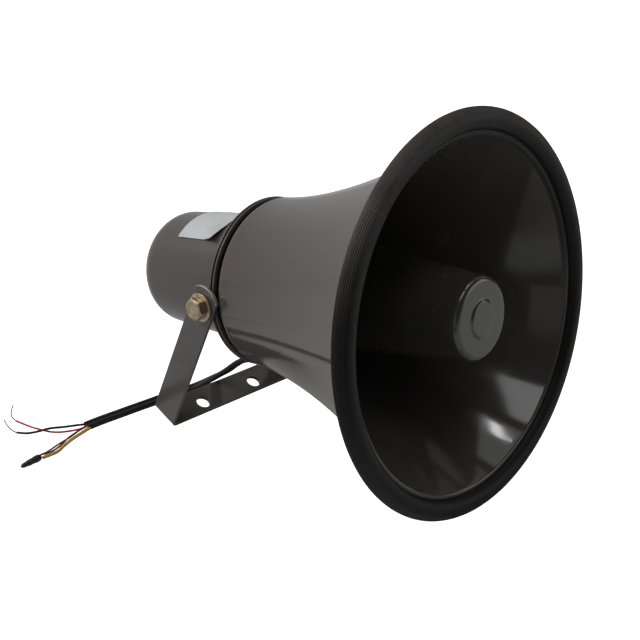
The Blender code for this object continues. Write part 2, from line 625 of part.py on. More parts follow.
def make_screws(base_name, places, seat, head_r, head_t, shank_r, length, finish, parent):
    for i, (x, y) in enumerate(places):
        screw = turned(f"{base_name}_{i + 1}", screw_outline(head_r, head_t, shank_r, length), finish, parent,
                       SCREW_STEPS)
        screw.location = (x, y, seat)


def make_throat_tube(finish, horn):
    flange_back = BASE_FRONT + FIT
    flange_front = flange_back + TUBE_FLANGE_T
    tail = BASE_FRONT - TUBE_SEAT_DEPTH + FIT
    outer = THROAT_R + TUBE_WALL
    outline = [(TUBE_MOUTH_R, TUBE_TIP), (TUBE_MOUTH_R + TUBE_WALL, TUBE_TIP), (outer, flange_front),
               (TUBE_FLANGE_R, flange_front), (TUBE_FLANGE_R, flange_back), (outer, flange_back),
               (THROAT_R + TUBE_WALL, tail), (THROAT_R, tail)]
    turned("throat_tube", outline, finish, horn, DRIVER_STEPS)


def dome(radius_grown, outer, steps=5):
    """Points of the diaphragm's dome, or of a surface at a distance in front of it, out to a radius."""
    ball = (DOME_R ** 2 + DOME_HEIGHT ** 2) / (2 * DOME_HEIGHT)
    centre = DIAPHRAGM_FRONT + DOME_HEIGHT - ball
    radii = np.linspace(0.0, outer, steps)
    grown = ball + radius_grown
    return [(r, centre + math.sqrt(grown ** 2 - r ** 2)) for r in radii]


def make_driver(cast, steel, ferrite, foil, copper, dark, horn, coil_axis):
    plug_seat = FRONT_FACE - 0.0022
    cavity = DIAPHRAGM_FRONT + 2 * DIAPHRAGM_TRAVEL + 0.0028
    front = turned("driver_front", [(THROAT_R, FRONT_FACE), (DRIVER_R, FRONT_FACE), (DRIVER_R, FRONT_BACK),
                                    (CAVITY_R, FRONT_BACK), (CAVITY_R, cavity), (PLUG_SEAT_R, cavity),
                                    (PLUG_SEAT_R, plug_seat), (PLUG_R, plug_seat)], cast, horn, DRIVER_STEPS)
    places = on_circle(DRIVER_SCREW_PITCH_R, DRIVER_SCREW_ANGLES)
    hole_r = DRIVER_SCREW_SHANK_R + FIT
    drill(front, "front_hole", places, hole_r, FRONT_BACK - 0.001, FRONT_FACE + 0.001)

    gap = 2 * DIAPHRAGM_TRAVEL + FIT
    back = dome(gap, PLUG_R)
    outline = [(0.0, back[0][1] + PLUG_LENGTH), (PLUG_TIP_R, back[0][1] + PLUG_LENGTH - 0.0006),
               (PLUG_R, plug_seat - FIT - PLUG_RIB_T)] + back[::-1]
    plug = turned("phase_plug", outline, cast, horn, 24)
    for i in range(3):
        reach = PLUG_SEAT_R - FIT
        root = 0.6 * PLUG_R
        section = box_outline(reach - root, PLUG_RIB_T, (0.5 * (reach + root), 0.0))
        arm = at_angle(section, math.tau * (i + 0.1) / 3)
        rib = prism(f"plug_rib_{i}", arm, plug_seat - FIT - 0.9 * PLUG_RIB_T, plug_seat - FIT, None, horn)
        cut(plug, rib, "UNION")

    spacer_front = FRONT_BACK - FIT
    spacer = turned("diaphragm_ring", [(CAVITY_R, spacer_front), (DRIVER_R, spacer_front),
                                       (DRIVER_R, SPACER_BACK),
                                       (CAVITY_R, SPACER_BACK)], dark, horn, DRIVER_STEPS)
    drill(spacer, "spacer_hole", places, hole_r, SPACER_BACK - 0.001, spacer_front + 0.001)
    top = turned("top_plate", [(GAP_R, TOP_PLATE_FRONT), (DRIVER_R, TOP_PLATE_FRONT),
                               (DRIVER_R, TOP_PLATE_BACK),
                               (GAP_R, TOP_PLATE_BACK)], steel, horn, DRIVER_STEPS)
    drill(top, "top_hole", places, hole_r, TOP_PLATE_BACK - 0.001, TOP_PLATE_FRONT + 0.001)
    turned("magnet", rounded([(MAGNET_BORE_R, MAGNET_FRONT, 0.0), (MAGNET_R, MAGNET_FRONT, 0.0005),
                              (MAGNET_R, MAGNET_BACK, 0.0005), (MAGNET_BORE_R, MAGNET_BACK, 0.0)], 1),
           ferrite, horn, DRIVER_STEPS)
    pole_tip = TOP_PLATE_FRONT - FIT
    yoke = turned("yoke", [(0.0, pole_tip), (POLE_R, pole_tip), (POLE_R, YOKE_FRONT), (YOKE_R, YOKE_FRONT),
                           (YOKE_R, YOKE_BACK), (0.0, YOKE_BACK)], steel, horn, DRIVER_STEPS)
    foot_x = 0.5 * CORE_WIDTH + FIT + CLAMP_T + 0.5 * CLAMP_FOOT
    drill(yoke, "yoke_hole", [(-foot_x, 0.0), (foot_x, 0.0)], CLAMP_SCREW_SHANK_R + FIT, YOKE_BACK - 0.001,
          YOKE_BACK + CLAMP_SCREW_GRIP + FIT)

    face = dome(0.0, DOME_R)
    under = [(r, h - DIAPHRAGM_T) for r, h in face]
    flat = DIAPHRAGM_FRONT
    turned("diaphragm", face + [(DIAPHRAGM_R, flat), (DIAPHRAGM_R, flat - DIAPHRAGM_T)] + under[::-1],
           foil, coil_axis, DRIVER_STEPS)
    coil_front = flat - DIAPHRAGM_T - FIT
    turned("voice_coil", [(COIL_R, coil_front), (COIL_R + COIL_T, coil_front),
                          (COIL_R + COIL_T, coil_front - COIL_LENGTH), (COIL_R, coil_front - COIL_LENGTH)],
           copper, coil_axis, DRIVER_STEPS)


def make_transformer(laminated, wound, plated, board, brass, horn):
    window = 0.5 * (CORE_WIDTH - 2 * CORE_LIMB - CORE_CENTRE_LIMB)
    tall = CORE_LENGTH - 2 * CORE_LIMB
    middle = 0.5 * (CORE_CENTRE_LIMB + window)
    centre = 0.5 * (CORE_FRONT + CORE_BACK)
    core = prism("transformer_core", box_outline(CORE_WIDTH, CORE_STACK), CORE_BACK, CORE_FRONT,
                 laminated, horn)
    for side, label in ((-1, "left"), (1, "right")):
        slot = prism(f"core_window_{label}", box_outline(window, tall, (side * middle, centre)), -CORE_STACK,
                     CORE_STACK, None, horn, "Y")
        cut(core, slot)
    wide = 0.5 * CORE_CENTRE_LIMB + window - FIT
    deep = 0.5 * CORE_STACK + WINDING_PROUD
    ring = rounded([(0.0, -deep, 0.0), (wide, -deep, 0.003), (wide, deep, 0.003), (-wide, deep, 0.003),
                    (-wide, -deep, 0.003), (0.0, -deep, 0.0)], 2)
    low, high = centre - 0.5 * tall + FIT, centre + 0.5 * tall - FIT
    winding = prism("transformer_winding", ring[:-1], low, high, wound, horn)
    limb = prism("winding_bore", box_outline(CORE_CENTRE_LIMB + 2 * FIT, CORE_STACK + 2 * FIT), low - 0.001,
                 high + 0.001, None, horn)
    cut(winding, limb)

    side = 0.5 * CORE_WIDTH + FIT + 0.5 * CLAMP_T
    foot = side + 0.5 * CLAMP_T + CLAMP_FOOT
    seat = YOKE_BACK - FIT - 0.5 * CLAMP_T
    back = CORE_BACK - FIT - 0.5 * CLAMP_T
    path = [(-foot, seat), (-side, seat), (-side, back), (side, back), (side, seat), (foot, seat)]
    section = offset(path, 0.5 * CLAMP_T) + offset(path, -0.5 * CLAMP_T)[::-1]
    clamp = prism("transformer_clamp", section, -0.5 * CLAMP_WIDTH, 0.5 * CLAMP_WIDTH, plated, horn, "Y")
    places = clamp_screw_places()
    under = seat - 0.5 * CLAMP_T
    drill(clamp, "clamp_hole", places, CLAMP_SCREW_SHANK_R + FIT, under - 0.001, YOKE_BACK + 0.001)
    length = YOKE_BACK + CLAMP_SCREW_GRIP - under + FIT
    outline = screw_outline(CLAMP_SCREW_HEAD_R, CLAMP_SCREW_HEAD_T, CLAMP_SCREW_SHANK_R, length)
    for (x, y), label in zip(places, ("left", "right")):
        screw = turned(f"clamp_screw_{label}", outline, plated, horn, SCREW_STEPS)
        screw.location = (x, y, under - FIT)

    front = YOKE_BACK - FIT
    rear = front - TERMINAL_T
    prism("terminal_board", box_outline(TERMINAL_WIDTH, TERMINAL_HEIGHT, (0.0, TERMINAL_UP)),
          rear, front, board,
          horn)
    for i in range(3):
        x = (i - 1) * 0.3 * TERMINAL_WIDTH
        prism(f"terminal_tag_{i + 1}", box_outline(TAG_WIDTH, TAG_T, (x, TERMINAL_UP)),
              rear - FIT - TAG_LENGTH,
              rear - FIT, brass, horn)


def clamp_screw_places():
    x = 0.5 * CORE_WIDTH + FIT + CLAMP_T + 0.5 * CLAMP_FOOT
    return [(-x, 0.0), (x, 0.0)]


def make_bracket(painted, plated, pivot):
    """Steel strap bent to a U: its arms run down local -Y from the bolts, its base closes them."""
    low = -BRACKET_REACH
    bend = STRAP_BEND_R
    top = STRAP_END_R
    outer = rounded([(-STRAP_OUTER, top, 0.0), (-STRAP_OUTER, low, bend), (STRAP_OUTER, low, bend),
                     (STRAP_OUTER, top, 0.0)], 6)
    inner = rounded([(STRAP_INNER, top, 0.0), (STRAP_INNER, low + STRAP_T, bend - STRAP_T),
                     (-STRAP_INNER, low + STRAP_T, bend - STRAP_T), (-STRAP_INNER, top, 0.0)], 6)
    half = 0.5 * STRAP_WIDTH
    bracket = prism("bracket", outer + inner, -half, half, painted, pivot)
    reach = math.acos((half + 0.001) / STRAP_END_R)
    arc = [(STRAP_END_R * math.sin(t), STRAP_END_R * math.cos(t))
           for t in np.linspace(0.5 * math.pi - reach, reach - 0.5 * math.pi, 17)]
    side_view = [(low - 0.002, half + 0.001)] + [(y, z) for z, y in arc] + [(low - 0.002, -half - 0.001)]
    shape = prism("bracket_side_view", side_view, -STRAP_OUTER - 0.002, STRAP_OUTER + 0.002, None, pivot, "X")
    cut(bracket, shape, "INTERSECT")
    bolt_hole = prism("bracket_bolt_hole", circle(BOLT_R + FIT, 20),
                      -STRAP_OUTER - 0.002, STRAP_OUTER + 0.002, None, pivot, "X")
    cut(bracket, bolt_hole)
    for side, label in ((-1, "left"), (1, "right")):
        centre = (side * 0.5 * BASE_HOLE_PITCH, BASE_HOLE_SHIFT)
        hole = prism(f"bracket_base_hole_{label}", circle(BASE_HOLE_R, 20, centre),
                     low - 0.002, low + STRAP_T + 0.002, None, pivot, "Y")
        cut(bracket, hole)


def make_bolts(plated, pivot):
    """Hexagon bolts and washers that clamp the bracket to the cover's bosses."""
    washer_seat = STRAP_OUTER + FIT
    head_seat = washer_seat + WASHER_T + FIT
    length = head_seat - BOSS_FACE + BOLT_REACH
    corner = 0.5 * BOLT_FLATS / math.cos(math.radians(30))
    chamfer = corner - 0.48 * BOLT_FLATS
    for side, label in ((-1, "left"), (1, "right")):
        turn = (0.0, -side * math.radians(90.0), 0.0)
        bolt = prism(f"pivot_bolt_{label}", circle(corner, 6, phase=BOLT_TURN), -BOLT_HEAD_T, 0.0, plated, pivot)
        bolt.location = (side * head_seat, 0.0, 0.0)
        bolt.rotation_euler = turn
        crown = turned(f"bolt_crown_{label}", [(0.0, 0.001), (corner + 0.001, 0.001),
                                               (corner + 0.001, -BOLT_HEAD_T + 0.6 * (chamfer + 0.001)),
                                               (corner - chamfer, -BOLT_HEAD_T), (0.0, -BOLT_HEAD_T)],
                       None, pivot, 24)
        crown.location = bolt.location
        crown.rotation_euler = turn
        cut(bolt, crown, "INTERSECT")
        shank = turned(f"bolt_shank_{label}", [(0.0, length), (BOLT_R - 0.0006, length),
                                               (BOLT_R, length - 0.0006),
                                               (BOLT_R, -0.001), (0.0, -0.001)], None, pivot, 16)
        shank.location = bolt.location
        shank.rotation_euler = turn
        cut(bolt, shank, "UNION")
        bore = BOLT_R + FIT
        washer = turned(f"bolt_washer_{label}", [(bore, -WASHER_T), (WASHER_R - 0.0003, -WASHER_T),
                                                 (WASHER_R, -WASHER_T + 0.0003), (WASHER_R, 0.0),
                                                 (bore, 0.0)],
                        plated, pivot, 24)
        washer.location = (side * washer_seat, 0.0, 0.0)
        washer.rotation_euler = turn


def make_grommet(rubber, horn):
    """Round grommet in the wall of the cover, with one slot for both cables."""
    wall = cover_radius(-OUTLET_BACK)
    half_rise = GROMMET_R * (COVER_FRONT_R - COVER_REAR_R) / (FLANGE_BACK - COVER_BACK)
    sag = wall - math.sqrt(wall ** 2 - GROMMET_R ** 2)
    out = wall + half_rise + FIT
    inside = wall - COVER_WALL - half_rise - sag - 2 * FIT
    outline = [(0.0, inside - GROMMET_LIP_T), (GROMMET_R, inside - GROMMET_LIP_T), (GROMMET_R, inside),
               (GROMMET_NECK_R, inside), (GROMMET_NECK_R, out), (GROMMET_R, out), (GROMMET_R, out + 0.0008),
               (GROMMET_R - 0.0008, out + GROMMET_LIP_T), (0.0, out + GROMMET_LIP_T)]
    grommet = turned("cable_grommet", outline, rubber, horn, 16)
    grommet.location = (0.0, 0.0, -OUTLET_BACK)
    grommet.rotation_euler = (math.radians(90.0), 0.0, 0.0)
    bore = 0.5 * SHEATH_D + 2 * FIT
    half = 0.5 * SHEATH_PITCH
    ends = [(half + bore * math.sin(t), bore * math.cos(t)) for t in np.linspace(0.0, math.pi, 9)]
    slot = ends + [(-x, -y) for x, y in ends]
    low = inside - GROMMET_LIP_T - 0.001
    high = out + GROMMET_LIP_T + 0.001
    tool = prism("grommet_slot", slot, low, high, None, horn)
    tool.location = grommet.location
    tool.rotation_euler = grommet.rotation_euler
    cut(grommet, tool)


def make_label(paper, horn):
    """Blank paper label round the taper of the cover, with one front corner curled up."""
    bm = bmesh.new()
    rows, columns = 6, 12
    grid = {}
    for i in range(rows + 1):
        back = LABEL_FRONT + LABEL_LENGTH * i / rows
        for j in range(columns + 1):
            angle = LABEL_START + (LABEL_END - LABEL_START) * j / columns
            along = max(0.0, 1.0 - (back - LABEL_FRONT) / LABEL_CURL_LENGTH)
            across = max(0.0, 1.0 - (LABEL_END - angle) / LABEL_CURL_ANGLE)
            lift = FIT + LABEL_LIFT * along ** 1.5 * across ** 1.5
            radius = cover_radius(-back) + lift
            for layer, r in enumerate((radius, radius + LABEL_T)):
                grid[i, j, layer] = bm.verts.new((r * math.cos(angle), r * math.sin(angle), -back))
    for i in range(rows):
        for j in range(columns):
            for layer in (0, 1):
                bm.faces.new([grid[i, j, layer], grid[i + 1, j, layer], grid[i + 1, j + 1, layer],
                              grid[i, j + 1, layer]])
    for i in range(rows):
        for j in (0, columns):
            bm.faces.new([grid[i, j, 0], grid[i + 1, j, 0], grid[i + 1, j, 1], grid[i, j, 1]])
    for j in range(columns):
        for i in (0, rows):
            bm.faces.new([grid[i, j, 0], grid[i, j + 1, 0], grid[i, j + 1, 1], grid[i, j, 1]])
    solid("label", bm, paper, horn)


def smooth_route(route, spacing):
    """Points at an even spacing on a Catmull-Rom curve through a route, its ends kept."""
    nodes = np.array(route, dtype=float)
    padded = np.vstack([2 * nodes[0] - nodes[1], nodes, 2 * nodes[-1] - nodes[-2]])
    fine = []
    for a, b, c, d in zip(padded, padded[1:], padded[2:], padded[3:]):
        for t in np.linspace(0.0, 1.0, 24, endpoint=False):
            fine.append(0.5 * (2 * b + (c - a) * t + (2 * a - 5 * b + 4 * c - d) * t ** 2
                               + (3 * b - a - 3 * c + d) * t ** 3))
    fine = np.array(fine + [nodes[-1]])
    lengths = np.concatenate([[0.0], np.cumsum(np.linalg.norm(np.diff(fine, axis=0), axis=1))])
    count = max(2, round(lengths[-1] / spacing))
    wanted = np.linspace(0.0, lengths[-1], count + 1)
    return np.stack([np.interp(wanted, lengths, fine[:, k]) for k in range(3)], axis=1)


def tube(name, route, diameter, finish, spacing=3.0):
    """Round cord along a route given in millimetres."""
    points = smooth_route(np.array(route) * MM, spacing * diameter)
    curve = bpy.data.curves.new(name, "CURVE")
    curve.dimensions = "3D"
    curve.bevel_depth = 0.5 * diameter
    curve.bevel_resolution = 2
    curve.use_fill_caps = True
    spline = curve.splines.new("POLY")
    spline.points.add(len(points) - 1)
    for spot, point in zip(spline.points, points):
        spot.co = (*point, 1.0)
    curve.materials.append(finish)
    made = bpy.data.objects.new(name, curve)
    bpy.context.collection.objects.link(made)
    return made


def make_cables(sheath, black, red, green, claret, yellow, copper, tape):
    tube("cable_sheath_a", SHEATH_A_ROUTE, SHEATH_D, sheath, 2.0)
    tube("cable_sheath_b", SHEATH_B_ROUTE, SHEATH_D, sheath, 2.0)
    tube("core_black", BLACK_ROUTE, BLACK_CORE_D, black)
    tube("core_red", RED_ROUTE, RED_CORE_D, red)
    tube("core_green", GREEN_ROUTE, GREEN_CORE_D, green)
    tube("core_claret", CLARET_ROUTE, CLARET_CORE_D, claret)
    tube("core_yellow", YELLOW_ROUTE, YELLOW_CORE_D, yellow)
    tube("strand_black", BLACK_STRAND_ROUTE, STRAND_D, copper)
    tube("strand_red", RED_STRAND_ROUTE, STRAND_D, copper)
    tape_line = np.array(TAPE_ROUTE) * MM
    length = float(np.linalg.norm(tape_line[1] - tape_line[0]))
    radius = 0.5 * TAPE_D
    taped = turned("taped_end", rounded([(0.0, 0.0, 0.0), (radius, 0.0, 0.9 * radius),
                                         (radius, length, 0.9 * radius), (0.0, length, 0.0)], 3), tape, None, 12)
    taped.location = tape_line[0]
    run = tape_line[1] - tape_line[0]
    taped.rotation_euler = (0.0, math.radians(90.0), math.atan2(run[1], run[0]))


def main():
    clear_scene()
    shell = material("grey_paint_smooth", (0.115, 0.105, 0.098), 0.32, 0.25)
    cast_grey = material("grey_paint_cast", (0.110, 0.102, 0.095), 0.45, 0.2)
    nose_grey = material("grey_moulding", (0.070, 0.072, 0.068), 0.45)
    rubber = material("black_rubber", (0.012, 0.012, 0.012), 0.75)
    sealing = material("black_gasket", (0.010, 0.010, 0.010), 0.85)
    strap_paint = material("bracket_paint", (0.095, 0.088, 0.082), 0.45, 0.3)
    zinc = material("yellow_zinc", (0.330, 0.260, 0.150), 0.35, 0.9)
    bright = material("bright_zinc", (0.520, 0.520, 0.500), 0.35, 0.9)
    cast = material("driver_casting", (0.300, 0.300, 0.290), 0.5, 0.8)
    steel = material("plated_steel", (0.450, 0.440, 0.400), 0.4, 0.9)
    ferrite = material("ferrite", (0.045, 0.045, 0.048), 0.7)
    foil = material("diaphragm_film", (0.420, 0.260, 0.110), 0.4)
    copper = material("copper", (0.640, 0.300, 0.160), 0.35, 0.9)
    laminated = material("laminations", (0.120, 0.115, 0.110), 0.6, 0.5)
    tape = material("winding_tape", (0.550, 0.420, 0.080), 0.5)
    board = material("terminal_card", (0.230, 0.120, 0.050), 0.7)
    brass = material("tag_brass", (0.560, 0.430, 0.180), 0.35, 0.9)
    paper = material("label_paper", (0.570, 0.610, 0.620), 0.6)
    sheath = material("cable_black", (0.015, 0.015, 0.015), 0.5)
    black = material("core_black", (0.012, 0.012, 0.012), 0.5)
    red = material("core_red", (0.450, 0.020, 0.030), 0.45)
    green = material("core_green", (0.060, 0.220, 0.140), 0.45)
    claret = material("core_claret", (0.160, 0.015, 0.020), 0.45)
    yellow = material("core_yellow", (0.600, 0.400, 0.030), 0.45)

    horn = empty("horn_axis", None, (0.0, HORN_Y, HORN_Z), (math.radians(90.0) - ELEVATION, 0.0, 0.0))
    coil_axis = empty("coil_axis", horn)
    arms_down = math.radians(90.0) + BRACKET_LEAN
    pivot = empty("bracket_pivot", None, (0.0, PIVOT_Y, PIVOT_Z), (arms_down, 0.0, 0.0))

    make_bell(shell, horn)
    turned("mouth_trim", trim_outline(), rubber, horn, BELL_STEPS)
    make_reflector(nose_grey, horn)
    make_throat_tube(shell, horn)
    make_base(cast_grey, horn)
    make_gaskets(sealing, horn)
    make_cover(cast_grey, horn)
    make_screws("cover_screw", on_circle(COVER_SCREW_PITCH_R, COVER_SCREW_ANGLES), FLANGE_BACK - FIT,
                COVER_SCREW_HEAD_R, COVER_SCREW_HEAD_T, COVER_SCREW_SHANK_R,
                BELL_BACK + BELL_WALL + COVER_SCREW_TIP - FLANGE_BACK + FIT, bright, horn)
    make_screws("reflector_screw", on_circle(LEG_R, LEG_ANGLES), HUB_BACK + REFLECTOR_SCREW_HEAD_T + FIT,
                REFLECTOR_SCREW_HEAD_R, REFLECTOR_SCREW_HEAD_T, REFLECTOR_SCREW_SHANK_R,
                REFLECTOR_SCREW_LENGTH, bright, horn)
    make_driver(cast, steel, ferrite, foil, copper, board, horn, coil_axis)
    make_screws("driver_screw", on_circle(DRIVER_SCREW_PITCH_R, DRIVER_SCREW_ANGLES), TOP_PLATE_BACK - FIT,
                DRIVER_SCREW_HEAD_R, DRIVER_SCREW_HEAD_T, DRIVER_SCREW_SHANK_R,
                HUB_BACK + DRIVER_SCREW_GRIP - TOP_PLATE_BACK + FIT, bright, horn)
    make_transformer(laminated, tape, bright, board, brass, horn)
    make_bracket(strap_paint, zinc, pivot)
    make_bolts(zinc, pivot)
    make_grommet(rubber, horn)
    make_label(paper, horn)
    make_cables(sheath, black, red, green, claret, yellow, copper, sheath)


main()
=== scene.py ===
"""Visible surfaces and finishes of a reflex horn loudspeaker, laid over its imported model.

Sizes are in metres. The horn's own frame has its origin at the middle of the mouth, its Z axis out
of the mouth and its Y axis on the upper side. A profile is a list of (radius, height) on that axis,
and heights behind the mouth are negative.
"""

import json
import math

import bmesh
import bpy
import numpy as np
from mathutils import Euler, Matrix, Vector


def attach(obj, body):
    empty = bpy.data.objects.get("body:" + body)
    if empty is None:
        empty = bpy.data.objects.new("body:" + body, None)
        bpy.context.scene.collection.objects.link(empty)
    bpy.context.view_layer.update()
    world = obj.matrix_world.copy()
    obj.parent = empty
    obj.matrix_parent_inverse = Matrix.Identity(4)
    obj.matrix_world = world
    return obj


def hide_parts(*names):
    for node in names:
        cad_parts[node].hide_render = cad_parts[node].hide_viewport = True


bl_info = {
    "name": "Horn Loudspeaker",
    "version": (1, 0, 0),
    "blender": (4, 5, 0),
    "location": "3D View > Sidebar > Horn",
    "description": "Surfaces and finishes of a reflex horn loudspeaker on a strap bracket",
    "category": "Add Mesh",
}

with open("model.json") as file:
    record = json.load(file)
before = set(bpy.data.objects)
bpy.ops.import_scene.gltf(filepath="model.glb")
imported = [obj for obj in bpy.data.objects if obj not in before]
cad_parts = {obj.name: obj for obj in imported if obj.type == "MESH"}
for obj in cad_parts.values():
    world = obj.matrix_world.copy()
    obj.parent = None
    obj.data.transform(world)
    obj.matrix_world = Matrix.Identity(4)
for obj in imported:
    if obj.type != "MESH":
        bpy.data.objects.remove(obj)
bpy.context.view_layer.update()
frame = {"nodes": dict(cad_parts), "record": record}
CAD = frame["nodes"]
JOINTS = {row["name"]: row for row in frame["record"]["behaviour"]["joints"]}

MM = 0.001
GAP = 0.0003
SIDES = ((-1, "left"), (1, "right"))
WELD_DISTANCE = 1e-6
SHARP_ANGLE = 40.0

# Where the horn and the bracket stand
TILT = math.radians(6.3)
HORN_ORIGIN = (0.0, -0.103301, 0.102407)
HORN_TURN = math.radians(90.0) - TILT
PIVOT = tuple(JOINTS["bracket_tilt"]["pos_m"])
BRACKET_LEAN = math.radians(24.563)
BRACKET_TURN = math.radians(90.0) + BRACKET_LEAN

# Bell
FLARE_POWER = 1.66
BELL_HOLE_R = 0.0166
SHOULDER_R = 0.0045
LIP_BEND_R = 0.0011

# Trim
RIBS_FROM, RIBS_TO = math.radians(-105.0), math.radians(58.0)
TRIM_SEAM = math.radians(137.5)

# Reflector and its legs
NOSE_FACE = 0.0058
SKIRT_END = -0.105
REFLECTOR_WALL = 0.0018
NOSE_EDGE_R, NOSE_INNER_EDGE_R = 0.0032, 0.0035
DISC_FOOT_R, DISC_TOP_R, DISC_RISE, DISC_EDGE_R = 0.0103, 0.0089, 0.0009, 0.0012
LEG_RING_R = 0.0293
LEG_HALF_DEPTH, LEG_HALF_WIDTH, LEG_CORNER = 0.0023, 0.004, 0.0008
LEG_FROM, LEG_TO = -0.1333, -0.102

# Base plate and its seals
FLANGE_R = 0.0489
BASE_BORE_R, BASE_STEP_R, BASE_SPIGOT_R = 0.0113, 0.0095, 0.0354
BASE_FRONT, BASE_RIM_BACK, BASE_STEP, BASE_BACK = -0.1361, -0.1373, -0.1403, -0.1416
SEAL_R, SEAL_EDGE, SEAL_SQUEEZE, SQUEEZED_FROM_R = 0.0476, 0.0003, 0.00025, 0.0470
BELL_SEAL_FRONT, BELL_SEAL_BACK = -0.1351, -0.1358
COVER_SEAL_R, COVER_SEAL_FRONT, COVER_SEAL_BACK = 0.0379, -0.1376, -0.1382

# Driver cover and its bolt bosses
COVER_WALL = 0.0018
COVER_FRONT, COVER_FLANGE_BACK, COVER_END = -0.1385, -0.1397, -0.2218
COVER_FILLET, COVER_FOOT_FILLET, RIM_FILLET = 0.0155, 0.0014, 0.0003
BOLT_AXIS, BOLT_DROP = -0.1435, 0.0029
BOSS_R, BOSS_BORE_R, BOSS_EDGE_R = 0.0072, 0.0035, 0.0004
BOSS_FROM, BOSS_TO, BOSS_FRONT = 0.0356, 0.0492, -0.1388

# Bracket, pivot bolts and washers
STRAP_EDGE_R = 0.0003
HEAD_HALF, HEAD_CORNER_R, HEAD_TOP_R, HEAD_EDGE_R = 0.00575, 0.00664, 0.0050, 0.0002
HEAD_HEIGHT, HEAD_CHAMFER, HEAD_TURN = 0.0046, 0.0010, math.radians(16.3)
SHANK_R, SHANK_END, SHANK_CHAMFER = 0.0032, 0.0150, 0.0005
WASHER_R, WASHER_BORE_R, WASHER_THICK, WASHER_SEAT = 0.0082, 0.0035, 0.0016, 0.0518
WASHER_EDGE_R, WASHER_SEAT_EDGE_R = 0.0004, 0.0002

# Label on the cover, by its distances behind the mouth and its angles round the horn
LABEL_FROM, LABEL_TO = 0.1575, 0.1905
LABEL_START, LABEL_END = math.radians(61.0), math.radians(133.0)
LABEL_THICK, LABEL_RIPPLE = 0.00022, 0.00012
CURL_RISE, CURL_LENGTH, CURL_ANGLE = 0.0036, 0.011, math.radians(22.0)

# The cables' routes in millimetres, as the solids have them
SHEATH_A_ROUTE = [
    (2.0, 42.5, 53.4), (2.0, 41.9, 48.0), (2.0, 41.5, 44.0), (2.0, 43.1, 39.6),
    (2.2, 47.5, 35.8), (2.5, 52.9, 33.0), (2.6, 58.5, 30.6), (2.6, 63.5, 27.6),
    (2.4, 68.7, 23.6), (2.2, 73.5, 19.4), (2.0, 78.2, 15.9), (1.4, 82.8, 12.7),
    (0.3, 87.1, 9.9), (-1.9, 91.3, 7.0), (-5.3, 95.1, 4.5), (-9.8, 97.9, 2.8),
    (-15.6, 99.9, 2.0), (-22.8, 100.9, 1.9), (-31.9, 101.5, 1.9), (-41.9, 102.0, 1.9),
    (-51.9, 102.6, 1.9), (-61.9, 103.1, 1.9), (-76.4, 103.8, 1.9), (-87.0, 103.9, 1.9)]
SHEATH_B_ROUTE = [
    (-2.0, 42.5, 53.4), (-2.0, 41.9, 48.0), (-2.0, 41.5, 44.0), (-2.0, 43.3, 39.6),
    (-1.8, 47.7, 35.8), (-1.5, 53.1, 33.0), (-1.4, 58.5, 30.6), (-1.4, 63.5, 27.6),
    (-1.6, 68.5, 23.6), (-1.8, 73.3, 19.4), (-2.0, 77.8, 15.9), (-2.6, 82.0, 12.7),
    (-3.5, 85.7, 9.9), (-5.1, 89.1, 7.0), (-7.9, 92.1, 4.5), (-11.4, 94.3, 2.8),
    (-16.4, 95.9, 2.0), (-23.2, 96.9, 1.9), (-32.1, 97.5, 1.9), (-42.1, 98.0, 1.9),
    (-52.1, 98.6, 1.9), (-62.1, 99.1, 1.9), (-76.6, 99.8, 1.9), (-87.0, 99.9, 1.9)]
BLACK_ROUTE = [
    (-87.4, 104.4, 2.0), (-91.0, 106.6, 2.0), (-98.0, 109.9, 2.2), (-102.5, 112.0, 2.6),
    (-106.5, 114.0, 2.6), (-111.0, 116.7, 1.6), (-116.0, 120.5, 0.9), (-119.5, 125.6, 0.8)]
RED_ROUTE = [
    (-87.4, 102.9, 1.2), (-91.5, 103.4, 0.8), (-97.0, 105.6, 0.7), (-101.4, 108.2, 0.7),
    (-104.4, 111.4, 0.7), (-106.3, 115.1, 0.7), (-109.4, 125.7, 0.7), (-111.2, 138.8, 0.7)]
GREEN_ROUTE = [
    (-87.4, 100.9, 2.4), (-94.0, 100.6, 1.6), (-101.8, 98.9, 0.8), (-112.0, 96.4, 0.7),
    (-120.3, 93.4, 0.9), (-127.9, 90.4, 2.4)]
CLARET_ROUTE = [
    (-87.4, 99.9, 3.0), (-94.0, 98.9, 2.9), (-103.0, 97.4, 2.0), (-111.7, 94.3, 0.8),
    (-120.3, 91.4, 1.0), (-127.9, 88.9, 3.4)]
YELLOW_ROUTE = [
    (-87.4, 99.2, 1.5), (-95.0, 97.7, 1.1), (-103.2, 95.3, 1.1), (-111.0, 92.0, 1.1),
    (-117.8, 88.9, 1.1), (-127.9, 87.1, 2.2)]
BLACK_STRAND_ROUTE = [
    (-119.7, 126.1, 0.8), (-119.6, 131.0, 0.7), (-118.0, 138.0, 0.6), (-115.4, 145.0, 0.6)]
RED_STRAND_ROUTE = [
    (-111.2, 139.4, 0.7), (-109.6, 146.0, 0.6), (-105.6, 152.6, 0.6), (-100.2, 158.8, 0.6)]
TAPE_ROUTE = [(-128.4, 88.6, 2.4), (-142.5, 86.5, 2.4)]

STRAND_R = 0.00035
TAPE_R, TAPE_LEAST_R = 0.0023, 0.0006
CORD_END_SHARE = 0.86
NO_CORD_RUNS_THIS_WAY = (0.35, -0.9, 0.25)

